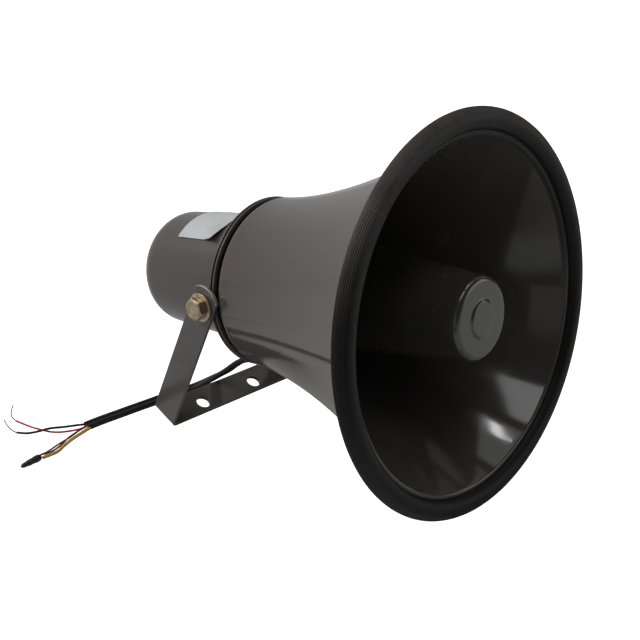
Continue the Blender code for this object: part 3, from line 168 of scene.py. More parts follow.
# Cores: node, route, diameter, finish, its colour and the far end
CORES = (
    ("core_black", BLACK_ROUTE, 0.0014, "black_core", "cable", "bare"),
    ("core_red", RED_ROUTE, 0.0012, "red_core", "red", "bare"),
    ("core_green", GREEN_ROUTE, 0.0011, "green_core", "green", "knot"),
    ("core_claret", CLARET_ROUTE, 0.0011, "dark_red_core", "claret", "knot"),
    ("core_yellow", YELLOW_ROUTE, 0.0020, "yellow_core", "yellow", "knot"))

# Colours of dust and wear on the finishes, and of painted light and shade on them
PALE_DUST = (0.09, 0.075, 0.065)
TOP_DUST_AND_LIGHT = (0.078, 0.067, 0.060)
BARE_STEEL_HIGHLIGHT = (0.42, 0.38, 0.33)
TAPE_GLINT = (0.42, 0.38, 0.36)
PAINTED_LIP_SHADOW = (0.004, 0.004, 0.004)

# Lamps: name, place, target, width, height and watts
LAMPS = (
    ("back_left_window", (-1.20, 1.15, 1.70), (0.0, 0.05, 0.12), 1.8, 1.2, 25.0),
    ("ceiling_panel", (-0.68, -0.76, 2.10), (-0.68, -0.76, 0.0), 1.00, 0.60, 5.0),
    ("ceiling_tubes", (0.27, -0.33, 2.10), (0.27, -0.33, 0.0), 0.28, 0.08, 1.2),
    ("ceiling_spot", (0.34, -0.42, 2.10), (0.34, -0.42, 0.0), 0.07, 0.03, 0.12),
    ("ceiling", (0.70, -0.50, 2.30), (0.70, -0.50, 0.0), 1.3, 0.8, 3.0),
    ("right_wall", (1.30, 0.05, 1.05), (0.0, -0.10, 0.05), 0.9, 0.9, 1.0),
    ("front_right_wall", (1.05, -1.15, 0.45), (0.0, -0.10, 0.10), 1.0, 0.7, 3.0))
# Pale walls: direction, the cosines between which each fades in, and its dimmest and brightest
WALLS = (
    ((-0.25, 0.96, 0.10), 0.0, 0.85, 0.03, 0.56),
    ((-0.96, -0.28, 0.0), 0.84, 1.0, 0.0, 0.28))
FLOOR_REACH = 8.0
# Centre of the floor's painted shadow
PAINTED_SHADOW_SPOT = (-0.45, -0.40, 0.0)

# Camera, fitted to the photograph: metres, degrees, and millimetres of lens and sensor
CAMERA_PLACE = (-0.42973, -0.38503, 0.29700)
CAMERA_TURN = (68.7525, -1.0916, -47.8781)
CAMERA_LENS, CAMERA_SENSOR = 61.875, 36.0


# Mesh surfaces

def turned_and_moved(points, turn, origin):
    """Points turned about X: (x, y cos - z sin, y sin + z cos), then moved to an origin."""
    c, s = math.cos(turn), math.sin(turn)
    x, y, z = np.moveaxis(points, -1, 0)
    return np.stack([x, y * c - z * s, y * s + z * c], axis=-1) + origin


def horn_place(points):
    """Horn frame to the model's frame."""
    return turned_and_moved(points, HORN_TURN, HORN_ORIGIN)


def bracket_place(points):
    """Bracket frame, on the bolts' axis with the arms down its -Y, to the model's frame."""
    return turned_and_moved(points, BRACKET_TURN, PIVOT)


def bolt_place(side, seat):
    """Bolt frame, with its head towards -Z, to the model's frame on one side of the bracket."""
    def place(points):
        x, y, z = np.moveaxis(points, -1, 0)
        return bracket_place(np.stack([side * (seat - z), y, side * x], axis=-1))
    return place


def weld(mesh, change):
    """Merges a mesh's doubled vertices, then gives it to change as a bmesh."""
    work = bmesh.new()
    work.from_mesh(mesh)
    bmesh.ops.remove_doubles(work, verts=work.verts, dist=WELD_DISTANCE)
    change(work)
    work.to_mesh(mesh)
    work.free()


def linked(name, mesh, sharp):
    """Object of a mesh, smooth except at edges sharper than an angle in degrees."""
    mesh.shade_smooth()
    mesh.set_sharp_from_angle(angle=math.radians(sharp))
    piece = bpy.data.objects.new(name, mesh)
    bpy.context.scene.collection.objects.link(piece)
    return piece


def grid_piece(name, points, closed_u=False, closed_v=True, sharp=SHARP_ANGLE, scale_uv=(1.0, 1.0)):
    """Mesh over a grid of points: rows run along u, columns along v, and either may close on itself."""
    rows, columns = points.shape[:2]
    spans_u = rows if closed_u else rows - 1
    spans_v = columns if closed_v else columns - 1
    u, v = [side.ravel() for side in np.meshgrid(np.arange(spans_u), np.arange(spans_v), indexing="ij")]
    at = np.arange(rows * columns).reshape(rows, columns)
    next_u, next_v = (u + 1) % rows, (v + 1) % columns
    quads = np.stack([at[u, v], at[next_u, v], at[next_u, next_v], at[u, next_v]], axis=1)
    mesh = bpy.data.meshes.new(name)
    mesh.vertices.add(rows * columns)
    mesh.vertices.foreach_set("co", points.reshape(-1).astype(np.float32))
    mesh.loops.add(quads.size)
    mesh.loops.foreach_set("vertex_index", quads.reshape(-1).astype(np.int32))
    mesh.polygons.add(len(quads))
    mesh.polygons.foreach_set("loop_start", np.arange(0, quads.size, 4, dtype=np.int32))
    mesh.update(calc_edges=True)
    corners_u = np.stack([u, u + 1, u + 1, u], axis=1) * (scale_uv[0] / spans_u)
    corners_v = np.stack([v, v, v + 1, v + 1], axis=1) * (scale_uv[1] / spans_v)
    corners = np.stack([corners_u, corners_v], axis=-1)
    mesh.uv_layers.new(name="UVMap").data.foreach_set("uv", corners.reshape(-1).astype(np.float32))
    weld(mesh, lambda work: bmesh.ops.recalc_face_normals(work, faces=work.faces))
    return linked(name, mesh, sharp)


def copied(node, name, bevel):
    """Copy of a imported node, welded, its flat faces joined and its edges rounded."""
    mesh = CAD[node].data.copy()
    weld(mesh, lambda work: bmesh.ops.dissolve_limit(
        work, angle_limit=math.radians(1.0), verts=work.verts, edges=work.edges))
    piece = linked(name, mesh, SHARP_ANGLE)
    rounding = piece.modifiers.new("rounding", "BEVEL")
    rounding.width = bevel
    rounding.segments = 3
    rounding.limit_method = "ANGLE"
    rounding.angle_limit = math.radians(SHARP_ANGLE)
    return piece


def revolve(profile, steps, place=horn_place, wobble=None):
    """Grid of a profile turned about Z: (r cos t, r sin t, h) for t from 0 to a full turn."""
    profile = np.asarray(profile, dtype=float)
    turn = np.linspace(0.0, math.tau, steps, endpoint=False)
    r, t = np.meshgrid(profile[:, 0], turn, indexing="ij")
    h = np.repeat(profile[:, 1:2], steps, axis=1)
    if wobble is not None:
        r, h = wobble(r, t, h)
    return place(np.stack([r * np.cos(t), r * np.sin(t), h], axis=-1))


def rounded(corners, steps=8):
    """A path through (x, y, radius) corners, each inner corner replaced by an arc of its radius."""
    path = [np.array(corners[0][:2])]
    for before, here, after in zip(corners, corners[1:], corners[2:]):
        corner, radius = np.array(here[:2]), here[2]
        if radius <= 0.0:
            path.append(corner)
            continue
        way_in = np.array(before[:2]) - corner
        way_out = np.array(after[:2]) - corner
        way_in = way_in / np.linalg.norm(way_in)
        way_out = way_out / np.linalg.norm(way_out)
        half = 0.5 * math.acos(float(np.clip(way_in @ way_out, -1.0, 1.0)))
        middle = way_in + way_out
        centre = corner + middle / np.linalg.norm(middle) * radius / math.sin(half)
        start = corner + way_in * radius / math.tan(half) - centre
        end = corner + way_out * radius / math.tan(half) - centre
        sweep = math.pi - 2 * half
        share = np.linspace(0.0, 1.0, steps + 1)[:, None]
        arc = (np.sin((1 - share) * sweep) * start + np.sin(share * sweep) * end) / math.sin(sweep)
        path.extend(centre + arc)
    path.append(np.array(corners[-1][:2]))
    return np.array(path)


def filled_in(path, longest):
    """The path with points added on its straights, so that none is longer than longest."""
    out = [path[0]]
    for a, b in zip(path, path[1:]):
        count = max(1, math.ceil(np.linalg.norm(b - a) / longest))
        out.extend(a + (b - a) * k / count for k in range(1, count + 1))
    return np.array(out)


def offset(path, distance):
    """The path moved sideways, to the left of its run where the distance is positive."""
    runs = np.diff(path, axis=0)
    runs /= np.linalg.norm(runs, axis=1)[:, None]
    sides = np.stack([-runs[:, 1], runs[:, 0]], axis=1)
    mitres = np.vstack([sides[:1], sides[:-1] + sides[1:], sides[-1:]])
    mitres /= np.linalg.norm(mitres, axis=1)[:, None]
    reach = np.concatenate([[1.0], np.einsum("ij,ij->i", mitres[1:-1], sides[1:]), [1.0]])
    return path + mitres * (distance / reach)[:, None]


def steps_of(path):
    """Distance from each point of a path to the next."""
    return np.linalg.norm(np.diff(path, axis=0), axis=1)


def smooth_route(route, spacing):
    """Points at an even spacing on a Catmull-Rom curve through a route given in millimetres."""
    nodes = np.array(route, dtype=float) * MM
    padded = np.vstack([2 * nodes[0] - nodes[1], nodes, 2 * nodes[-1] - nodes[-2]])
    t = np.linspace(0.0, 1.0, 24, endpoint=False)[:, None]

    def span(a, b, c, d):
        square = 2 * a - 5 * b + 4 * c - d
        cube = 3 * b - a - 3 * c + d
        return 0.5 * (2 * b + (c - a) * t + square * t ** 2 + cube * t ** 3)

    spans = [span(*four) for four in zip(padded, padded[1:], padded[2:], padded[3:])]
    fine = np.vstack(spans + [nodes[-1:]])
    lengths = np.concatenate([[0.0], np.cumsum(steps_of(fine))])
    count = max(8, round(lengths[-1] / spacing))
    wanted = np.linspace(0.0, lengths[-1], count + 1)
    return np.stack([np.interp(wanted, lengths, fine[:, k]) for k in range(3)], axis=1)


def tube(name, path, radii, sides=16):
    """Round tube: rings of path + r (n cos t + b sin t), with n and b across the run, eased at its ends."""
    run = np.gradient(path, axis=0)
    run /= np.linalg.norm(run, axis=1)[:, None]
    across = np.cross(run, NO_CORD_RUNS_THIS_WAY)
    across /= np.linalg.norm(across, axis=1)[:, None]
    up = np.cross(run, across)
    path, across, up = [np.pad(rows, ((2, 2), (0, 0)), mode="edge") for rows in (path, across, up)]
    radii = np.broadcast_to(radii, len(path) - 4)
    first, last = CORD_END_SHARE * radii[0], CORD_END_SHARE * radii[-1]
    radii = np.concatenate([[0.0, first], radii, [last, 0.0]])
    turn = np.linspace(0.0, math.tau, sides, endpoint=False)[None, :, None]
    ring = across[:, None] * np.cos(turn) + up[:, None] * np.sin(turn)
    length = float(np.sum(steps_of(path)))
    return grid_piece(name, path[:, None] + radii[:, None, None] * ring, scale_uv=(length, 1.0))


# Finishes

class Wire:
    """A node's output. Arithmetic on it adds Math nodes to its pattern."""

    def __init__(self, pattern, output):
        self.pattern = pattern
        self.output = output

    def __add__(self, other):
        return self.pattern.math("ADD", self, other)

    def __radd__(self, other):
        return self.pattern.math("ADD", other, self)

    def __sub__(self, other):
        return self.pattern.math("SUBTRACT", self, other)

    def __rsub__(self, other):
        return self.pattern.math("SUBTRACT", other, self)

    def __mul__(self, other):
        return self.pattern.math("MULTIPLY", self, other)

    def __rmul__(self, other):
        return self.pattern.math("MULTIPLY", other, self)


class Pattern:
    """A node tree that is written as expressions."""

    def __init__(self, tree):
        self.tree = tree

    def feed(self, socket, value):
        """Links a wire to a socket, or sets the socket's value."""
        if isinstance(value, Wire):
            self.tree.links.new(value.output, socket)
        else:
            socket.default_value = value

    def node(self, kind, settings=None, inputs=None, output=0):
        """One node: its settings first, then the values or links of its sockets."""
        made = self.tree.nodes.new("ShaderNode" + kind)
        for key, value in (settings or {}).items():
            setattr(made, key, value)
        for key, value in (inputs or {}).items():
            self.feed(made.inputs[key], value)
        return Wire(self, made.outputs[output])

    def math(self, operation, *values):
        """One Math node."""
        return self.node("Math", {"operation": operation}, dict(enumerate(values)))

    def place(self):
        """Object coordinates."""
        return self.node("TexCoord", output="Object")

    def turned_place(self, origin, turn):
        """Object coordinates in a frame at an origin, turned about X."""
        return self.node("Mapping", {"vector_type": "TEXTURE"},
                         {"Vector": self.place(), "Location": origin, "Rotation": (turn, 0.0, 0.0)})

    def horn(self):
        """Object coordinates in the horn's own frame."""
        return self.turned_place(HORN_ORIGIN, HORN_TURN)

    def surface(self):
        """The two coordinates of the piece's UV map."""
        return self.split(self.node("TexCoord", output="UV"))[:2]

    def across(self, vector, scale):
        """A vector stretched by a scale for each axis."""
        return self.node("Mapping", None, {"Vector": vector, "Scale": scale})

    def split(self, vector):
        """The three parts of a vector."""
        parts = self.node("SeparateXYZ", None, {"Vector": vector})
        return [Wire(self, output) for output in parts.output.node.outputs]

    def join(self, x, y, z):
        """A vector of three parts."""
        return self.node("CombineXYZ", None, {0: x, 1: y, 2: z})

    def length(self, vector):
        """Distance of a point from the origin."""
        return self.node("VectorMath", {"operation": "LENGTH"}, {0: vector}, output=1)

    def noise(self, vector, scale, detail=3.0, rough=0.5):
        """Cloudy noise from 0 to 1."""
        return self.node("TexNoise", None,
                         {"Vector": vector, "Scale": scale, "Detail": detail, "Roughness": rough})

    def step(self, value, low, high, out_low=0.0, out_high=1.0):
        """Smooth step from out_low at low to out_high at high."""
        return self.node("MapRange", {"interpolation_type": "SMOOTHSTEP"}, {
            "Value": value, "From Min": low, "From Max": high, "To Min": out_low, "To Max": out_high})

    def mix(self, share, first, second):
        """Colour from first to second."""
        first, second = [end if isinstance(end, Wire) else (*end, 1.0) for end in (first, second)]
        return self.node("Mix", {"data_type": "RGBA"}, {0: share, 6: first, 7: second}, output=2)


class Finish(Pattern):
    """A Principled material and its pattern."""

    def __init__(self, name):
        self.material = bpy.data.materials.new(name)
        self.material.use_nodes = True
        super().__init__(self.material.node_tree)
        self.shader = self.tree.nodes["Principled BSDF"]

    def set(self, socket, value):
        """Feeds a socket of the shader."""
        self.feed(self.shader.inputs[socket], value)

    def paint(self, colour, roughness, metallic=0.0, specular=0.5):
        """Feeds the shader's colour and the way that it shines."""
        self.set("Base Color", colour)
        self.set("Roughness", roughness)
        self.set("Metallic", metallic)
        self.set("Specular IOR Level", specular)

    def bump(self, height, distance, strength):
        """Feeds the shader's normal with a height in units of distance."""
        self.set("Normal", self.node("Bump", None, {
            "Height": height, "Distance": distance, "Strength": strength}))


def dress(piece, finish, body="speaker", replaces=()):
    """Gives a piece its finish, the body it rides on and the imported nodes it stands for."""
    piece.data.materials.clear()
    piece.data.materials.append(finish)
    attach(piece, body)
    if replaces:
        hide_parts(*replaces)
    return piece


def dress_cad(finish, *names):
    """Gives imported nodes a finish; they keep their shapes."""
    for name in names:
        materials = CAD[name].data.materials
        materials.clear()
        materials.append(finish)


def numbered(name, count):
    """The names of like nodes."""
    return [f"{name}_{index}" for index in range(1, count + 1)]


def stoved_colour(finish, spot, tone, cloud):
    """Paint that clouds between a deeper and a paler tone under fine dust; also the dust itself."""
    dust = finish.step(finish.noise(spot, 1500.0, 2.0), 0.68, 0.78)
    clean = finish.mix(cloud, tone * 0.94, tone * 1.06)
    return finish.mix(0.4 * dust, clean, tone * 1.5 + 0.008), dust


def bell_finish(name, tone):
    """Stoved paint with orange peel and spun rings, with painted shade at the shoulder.

    The inside, where the UV map's u is below a half, has painted shade too, and a painted shadow under the
    upper lip.
    """
    finish, tone = Finish(name), np.array(tone)
    spot = finish.horn()
    y, z = finish.split(spot)[1:]
    inside = finish.step(finish.surface()[0], 0.4999, 0.5001, 1.0, 0.0)
    cloud = finish.noise(spot, 24.0)
    pebble = finish.noise(spot, 430.0, 1.0, 0.4)
    ring = finish.noise(finish.join(0.37, 0.61, z), 600.0, 1.0)
    bands = finish.noise(finish.join(0.17, 0.43, z), 140.0, 3.0, 0.6)
    outer, dust = stoved_colour(finish, spot, tone, 0.5 * cloud + 0.5 * bands)
    # Painted shade: the paint is darker over the shoulder's curve by the joint.
    shoulder = finish.step(z, -0.1345, -0.1310, 0.5, 0.0)
    outer = finish.mix(shoulder, outer, tone * 0.25)
    # Painted shade: the inside is a darker copy of the paint, varied by the spun rings.
    painted_inside_shade = finish.mix(ring, tone * (0.68, 0.72, 0.74), tone * (0.80, 0.86, 0.90))
    # Painted shadow: dark and dull under the upper lip, inside the mouth.
    painted_lip_shadow = inside * finish.step(z, -0.0026, -0.0012) * finish.step(y, -0.03, 0.03)
    outside = 1.0 - inside
    finish.paint(finish.mix(0.8 * painted_lip_shadow, finish.mix(inside, outer, painted_inside_shade), PAINTED_LIP_SHADOW),
                 0.05 + 0.05 * cloud + 0.12 * dust * outside + 0.03 * inside + 0.6 * painted_lip_shadow)
    finish.bump(pebble * outside + ring * (1.7 - 1.3 * inside), 0.00004, 0.5)
    return finish.material


def cover_finish(name, tone):
    """Stoved paint over a casting: orange peel, clouds and a little dust."""
    finish, tone = Finish(name), np.array(tone)
    spot = finish.horn()
    cloud = finish.noise(spot, 24.0)
    colour, dust = stoved_colour(finish, spot, tone, cloud)
    finish.paint(colour, 0.18 + 0.05 * cloud + 0.12 * dust)
    finish.bump(finish.noise(spot, 430.0, 2.0), 0.00006, 0.5)
    return finish.material


def black_rubber(name, tone, seam=None):
    """Black rubber, paler on its upper side with dust and painted light, with a butt seam at an angle round
    the horn where asked.
    """
    finish = Finish(name)
    spot = finish.horn()
    x, y = finish.split(spot)[:2]
    bloom = finish.noise(spot, 55.0, 5.0, 0.65)
    specks = finish.step(finish.noise(spot, 1200.0, 1.0), 0.74, 0.80)
    # The upper side of the outer ribs is paler: settled dust, and painted light from above.
    dust_and_top_light = finish.step(y, 0.01, 0.09, 0.0, 0.85) * finish.step(bloom, 0.30, 0.60, 0.6, 1.0)
    dust_and_top_light = dust_and_top_light * finish.step(finish.length(finish.join(x, y, 0.0)), 0.0955, 0.1010)
    base = finish.mix(dust_and_top_light, tone, TOP_DUST_AND_LIGHT)
    base = finish.mix(0.35 * specks, base, PALE_DUST)
    relief = 0.3 * finish.noise(spot, 800.0, 1.0)
    if seam is not None:
        away = finish.math("ABSOLUTE", finish.math("ARCTAN2", y, x) - seam)
        base = finish.mix(0.6 * finish.step(away, 0.0012, 0.0045, 1.0, 0.0), base, PALE_DUST)
        relief = relief - 3.0 * finish.step(away, 0.0, 0.003, 1.0, 0.0)
    finish.paint(base, 0.45 + 0.14 * bloom, specular=0.26)
    finish.bump(relief, 0.00006, 0.6)
    return finish.material


def nose_finish(name, tone):
    """Smooth glossy moulding with faint clouds and scuffs."""
    finish, tone = Finish(name), np.array(tone)
    spot = finish.horn()
    cloud = finish.noise(spot, 70.0, 4.0, 0.6)
    streaks = finish.noise(finish.across(spot, (1.0, 0.35, 1.0)), 240.0, 3.0, 0.6)
    scuff = finish.step(streaks, 0.60, 0.74)
    finish.paint(finish.mix(0.3 * scuff, finish.mix(cloud, tone, tone * 1.12), tone * 1.4),
                 0.14 + 0.08 * cloud + 0.12 * scuff, specular=0.85)
    finish.bump(finish.noise(spot, 300.0, 1.0), 0.00003, 0.5)
    return finish.material


def satin_paint(name, tone):
    """Paint over a turned plate, with fine grain and worn specks."""
    finish, tone = Finish(name), np.array(tone)
    spot = finish.place()
    cloud = finish.noise(spot, 60.0, 5.0, 0.6)
    specks = finish.step(finish.noise(spot, 420.0, 2.0), 0.72, 0.80)
    base = finish.mix(cloud, tone * 0.84, tone * 1.2)
    finish.paint(finish.mix(0.4 * specks, base, tone * 2.2), 0.34 + 0.16 * cloud)
    finish.bump(finish.noise(spot, 900.0, 3.0, 0.6), 0.00006, 0.4)
    return finish.material


def strap_paint(name, tone):
    """Glossy paint on bent strap steel: faint runs, specks, and pale bare metal with a painted highlight on
    the rounded ends' edges.
    """
    finish, tone = Finish(name), np.array(tone)
    spot = finish.turned_place(PIVOT, BRACKET_TURN)
    y, z = finish.split(spot)[1:]
    cloud = finish.noise(spot, 45.0, 4.0, 0.55)
    runs = finish.noise(finish.across(spot, (1.0, 0.25, 1.0)), 160.0)
    pebble = finish.noise(spot, 380.0, 1.0)
    specks = finish.step(finish.noise(spot, 520.0, 2.0), 0.70, 0.78)
    away = finish.length(finish.join(0.0, y, z))
    edge = finish.step(away, 0.0116, 0.0121) * finish.step(away, 0.0128, 0.0135, 1.0, 0.0)
    # Pale bare steel on the rounded ends' edges: wear, and a painted highlight where the edge catches the
    # light.
    worn = edge * finish.step(y, -0.008, 0.001) * finish.step(cloud, 0.30, 0.55, 0.35, 1.0)
    base = finish.mix(0.5 * cloud + 0.5 * runs, tone * 0.86, tone * 1.12)
    base = finish.mix(0.35 * specks, base, tone * 2.0)
    finish.paint(finish.mix(worn, base, BARE_STEEL_HIGHLIGHT), 0.13 + 0.08 * cloud + 0.2 * worn, 0.7 * worn)
    finish.bump(pebble + 0.4 * runs, 0.00006, 0.5)
    return finish.material


def plated_metal(name, tone, stain):
    """Zinc plating with a cloudy chromate tint and fine scratches."""
    finish, tone = Finish(name), np.array(tone)
    spot = finish.place()
    cloud = finish.noise(spot, 260.0, 4.0, 0.6)
    scratch = finish.noise(finish.across(spot, (1.0, 9.0, 1.0)), 700.0, 2.0)
    finish.paint(finish.mix(finish.step(cloud, 0.38, 0.66), tone, tone * stain), 0.26 + 0.2 * cloud, 0.85)
    finish.bump(scratch, 0.00003, 0.4)
    return finish.material


def label_paper(name, tone):
    """Film-faced paper with faint creases and greyed patches."""
    finish, tone = Finish(name), np.array(tone)
    spot = finish.horn()
    crease = finish.noise(finish.across(spot, (1.0, 1.0, 3.0)), 90.0)
    tint = finish.noise(spot, 45.0)
    finish.paint(finish.mix(finish.step(tint, 0.4, 0.7), tone, tone * 0.82), 0.34 + 0.2 * tint)
    finish.bump(crease, 0.0003, 0.35)
    return finish.material


def cable_plastic(name, tone, roughness):
    """Soft cable plastic with dust and the slight ripple of the wires inside."""
    finish, tone = Finish(name), np.array(tone)
    spot = finish.place()
    dust = finish.noise(spot, 160.0, 4.0, 0.6)
    finish.paint(finish.mix(finish.step(dust, 0.42, 0.75), tone, tone * 1.12 + 0.002),
                 roughness + 0.2 * dust, specular=0.35)
    finish.bump(finish.noise(spot, 150.0, 1.0), 0.00006, 0.3)
    return finish.material


def tape_wrap(name, tone):
    """Wound tape: slanting overlaps and pale painted glints."""
    finish = Finish(name)
    u, v = finish.surface()
    turns = finish.math("SINE", u * 2600.0 + v * math.tau)
    cloud = finish.noise(finish.place(), 330.0, 3.0, 0.6)
    # Painted glints: pale spots that stand in for highlights on the tape.
    glint = finish.step(cloud, 0.62, 0.70)
    finish.paint(finish.mix(0.8 * glint, tone, TAPE_GLINT), 0.26 + 0.2 * cloud)
    finish.bump(turns + 3.0 * cloud, 0.00012, 0.6)
    return finish.material


def stranded_copper(name, tone):
    """Twisted bare strands: slanting bright and dark lines round the bundle, the dark lines painted shade
    between the strands.
    """
    finish, tone = Finish(name), np.array(tone)
    u, v = finish.surface()
    twist = finish.math("SINE", u * 1400.0 + v * math.tau * 5.0)
    # The dark lines are painted shade in the grooves between the strands.
    finish.paint(finish.mix(finish.step(twist, -0.9, 0.2), tone * 0.35, tone), 0.32, 0.9)
    finish.bump(twist, 0.00006, 0.7)
    return finish.material


def mottled(name, tone, roughness, metallic=0.0, scale=120.0, grain=900.0):
    """Plain material of a hidden part: cloudy tone and a fine grain."""
    finish, tone = Finish(name), np.array(tone)
    spot = finish.place()
    cloud = finish.noise(spot, scale, 4.0, 0.6)
    colour = finish.mix(cloud, tone * 0.82, np.minimum(1.0, tone * 1.18))
    finish.paint(colour, roughness - 0.06 + 0.12 * cloud, metallic)
    finish.bump(finish.noise(spot, grain, 2.0), 0.00004, 0.4)
    return finish.material


# Sizes and colours that a user would change

def length(label, text, value):
    """A size in metres."""
    return bpy.props.FloatProperty(
        name=label, description=text, default=value, min=0.0, max=1.0, unit="LENGTH", precision=5)


def colour(label, text, value):
    """A finish's main colour."""
    return bpy.props.FloatVectorProperty(
        name=label, description=text, default=value, size=3, min=0.0, max=1.0, subtype="COLOR")


class HORN_PG_sizes(bpy.types.PropertyGroup):
    """Sizes of the horn, the trim, the cover and the cables."""
    horn_depth: length("Horn depth", "Mouth plane to the back of the bell", 0.1348)
    bell_wall: length("Bell wall", "Thickness of the bell's sheet", 0.0012)
    bell_rear: length("Bell rear radius", "Middle of the wall at the shoulder", 0.0484)
    bell_mouth: length("Bell mouth radius", "Middle of the wall where the lip turns out", 0.0901)
    lip_radius: length("Lip radius", "Rim of the lip inside the trim", 0.0983)
    trim_radius: length("Trim radius", "Outside of the rubber trim", 0.1030)
    trim_radial: length("Trim width", "Trim across, in the mouth's plane", 0.0115)
    trim_axial: length("Trim depth", "Trim along the horn's axis", 0.01032)
    rib_depth: length("Rib depth", "Depth of the trim's fine ribs", 0.00027)
    rib_count: bpy.props.IntProperty(
        name="Ribs", description="Ribs on the trim's outer half", default=14, min=0)
    nose_radius: length("Nose radius", "Reflector at its closed nose", 0.0213)
    skirt_radius: length("Skirt radius", "Reflector at its open end", 0.0325)
    cover_front: length("Cover front radius", "Driver cover at its flange", 0.0379)
    cover_rear: length("Cover rear radius", "Driver cover at its end, before the fillet", 0.0335)
    cable: length("Cable diameter", "Each of the two cables", 0.0036)


class HORN_PG_colours(bpy.types.PropertyGroup):
    """Main colours of the finishes that show."""
    bell: colour("Bell", "Paint of the bell", (0.085, 0.072, 0.066))
    cover: colour("Cover", "Paint of the driver cover", (0.085, 0.075, 0.067))
    nose: colour("Nose", "Moulding of the reflector", (0.046, 0.045, 0.041))
    strap: colour("Bracket", "Paint of the strap bracket", (0.087, 0.083, 0.079))
    rubber: colour("Rubber", "Trim and grommet", (0.0036, 0.0032, 0.0030))
    gasket: colour("Gasket", "Seals of the joint", (0.004, 0.004, 0.004))
    zinc: colour("Yellow zinc", "Plating of the pivot bolts", (0.52, 0.42, 0.29))
    bright: colour("Bright zinc", "Plating of the screws", (0.52, 0.52, 0.50))
    label: colour("Label", "Blank paper label", (0.60, 0.625, 0.63))
    cable: colour("Cable", "Sheaths and black core", (0.013, 0.013, 0.014))
    tape: colour("Tape", "Wound round the three cores", (0.022, 0.017, 0.014))
    red: colour("Red core", "Insulation", (0.58, 0.012, 0.050))
    green: colour("Green core", "Insulation", (0.040, 0.200, 0.180))
    claret: colour("Dark red core", "Insulation", (0.170, 0.008, 0.030))
    yellow: colour("Yellow core", "Insulation", (0.68, 0.39, 0.090))
    copper: colour("Copper", "Tarnished bare strands", (0.16, 0.12, 0.13))


# Operators

def bell_middle(sizes):
    """Middle of the wall: back plate, shoulder arc, flare r = r0 + (r1 - r0) s^power, bend and flat lip."""
    back = -sizes.horn_depth + 0.5 * sizes.bell_wall
    grow = sizes.bell_mouth - sizes.bell_rear

    def flare(height):
        return sizes.bell_rear + grow * ((height + sizes.horn_depth) / sizes.horn_depth) ** FLARE_POWER

    start = back + SHOULDER_R
    corner = rounded([(BELL_HOLE_R, back, 0.0), (flare(start), back, SHOULDER_R),
                      (flare(start), start + 1e-4, 0.0)], steps=10)
    lean = math.atan(grow * FLARE_POWER / sizes.horn_depth)
    heights = np.linspace(start + 0.002, -LIP_BEND_R * (1 - math.sin(lean)), 64)
    sides = np.stack([flare(heights), heights], axis=1)
    centre = np.array([sides[-1, 0] + LIP_BEND_R * math.cos(lean), -LIP_BEND_R])
    turns = np.linspace(math.pi - lean, 0.5 * math.pi, 9)[1:]
    bend = centre + LIP_BEND_R * np.stack([np.cos(turns), np.sin(turns)], axis=1)
    return np.vstack([filled_in(corner[:-1], longest=0.003), sides, bend, [[sizes.lip_radius, 0.0]]])


class HORN_OT_bell(bpy.types.Operator):
    """Spun bell with its paint."""
    bl_idname = "horn.bell"
    bl_label = "Bell"

    def execute(self, context):
        sizes, colours = context.scene.horn_sizes, context.scene.horn_colours
        middle = bell_middle(sizes)
        half = 0.5 * sizes.bell_wall
        outline = np.vstack([offset(middle, half), offset(middle, -half)[::-1]])
        piece = grid_piece("bell_shell", revolve(outline, steps=240), closed_u=True)
        paint = bell_finish("bell_paint", colours.bell)
        dress(piece, paint, replaces=("horn_bell",))
        dress_cad(paint, "throat_tube")
        return {"FINISHED"}


class HORN_OT_trim(bpy.types.Operator):
    """Rubber trim: an oval section with fine ribs on its outer and rear side."""
    bl_idname = "horn.trim"
    bl_label = "Mouth trim"

    def execute(self, context):
        sizes, colours = context.scene.horn_sizes, context.scene.horn_colours
        groove = 0.5 * sizes.bell_wall + GAP
        opening = math.asin(groove / (0.5 * sizes.trim_axial))
        turns = np.linspace(opening - math.pi, math.pi - opening, 340)
        depth = self.rib_depths(sizes, turns)
        middle = sizes.trim_radius - 0.5 * sizes.trim_radial
        oval = np.stack([middle + (0.5 * sizes.trim_radial - depth) * np.cos(turns),
                         (0.5 * sizes.trim_axial - depth) * np.sin(turns)], axis=1)
        floor = sizes.lip_radius + 2 * GAP
        outline = np.vstack([oval, [[floor, groove], [floor, -groove]]])
        piece = grid_piece("trim_ring", revolve(outline, steps=240), closed_u=True, sharp=60.0)
        rubber = black_rubber("trim_rubber", colours.rubber, TRIM_SEAM)
        dress(piece, rubber, replaces=("mouth_trim",))
        return {"FINISHED"}

    def rib_depths(self, sizes, turns):
        """Depth of the ribs, d sqrt((1 - cos(2 pi n s)) / 2), faded to nothing at both ends."""
        share = np.clip((turns - RIBS_FROM) / (RIBS_TO - RIBS_FROM), 0.0, 1.0)
        ribs = 0.5 - 0.5 * np.cos(share * math.tau * sizes.rib_count)
        fade = np.clip(9.0 * np.minimum(share, 1.0 - share), 0.0, 1.0)
        return sizes.rib_depth * np.sqrt(ribs) * fade


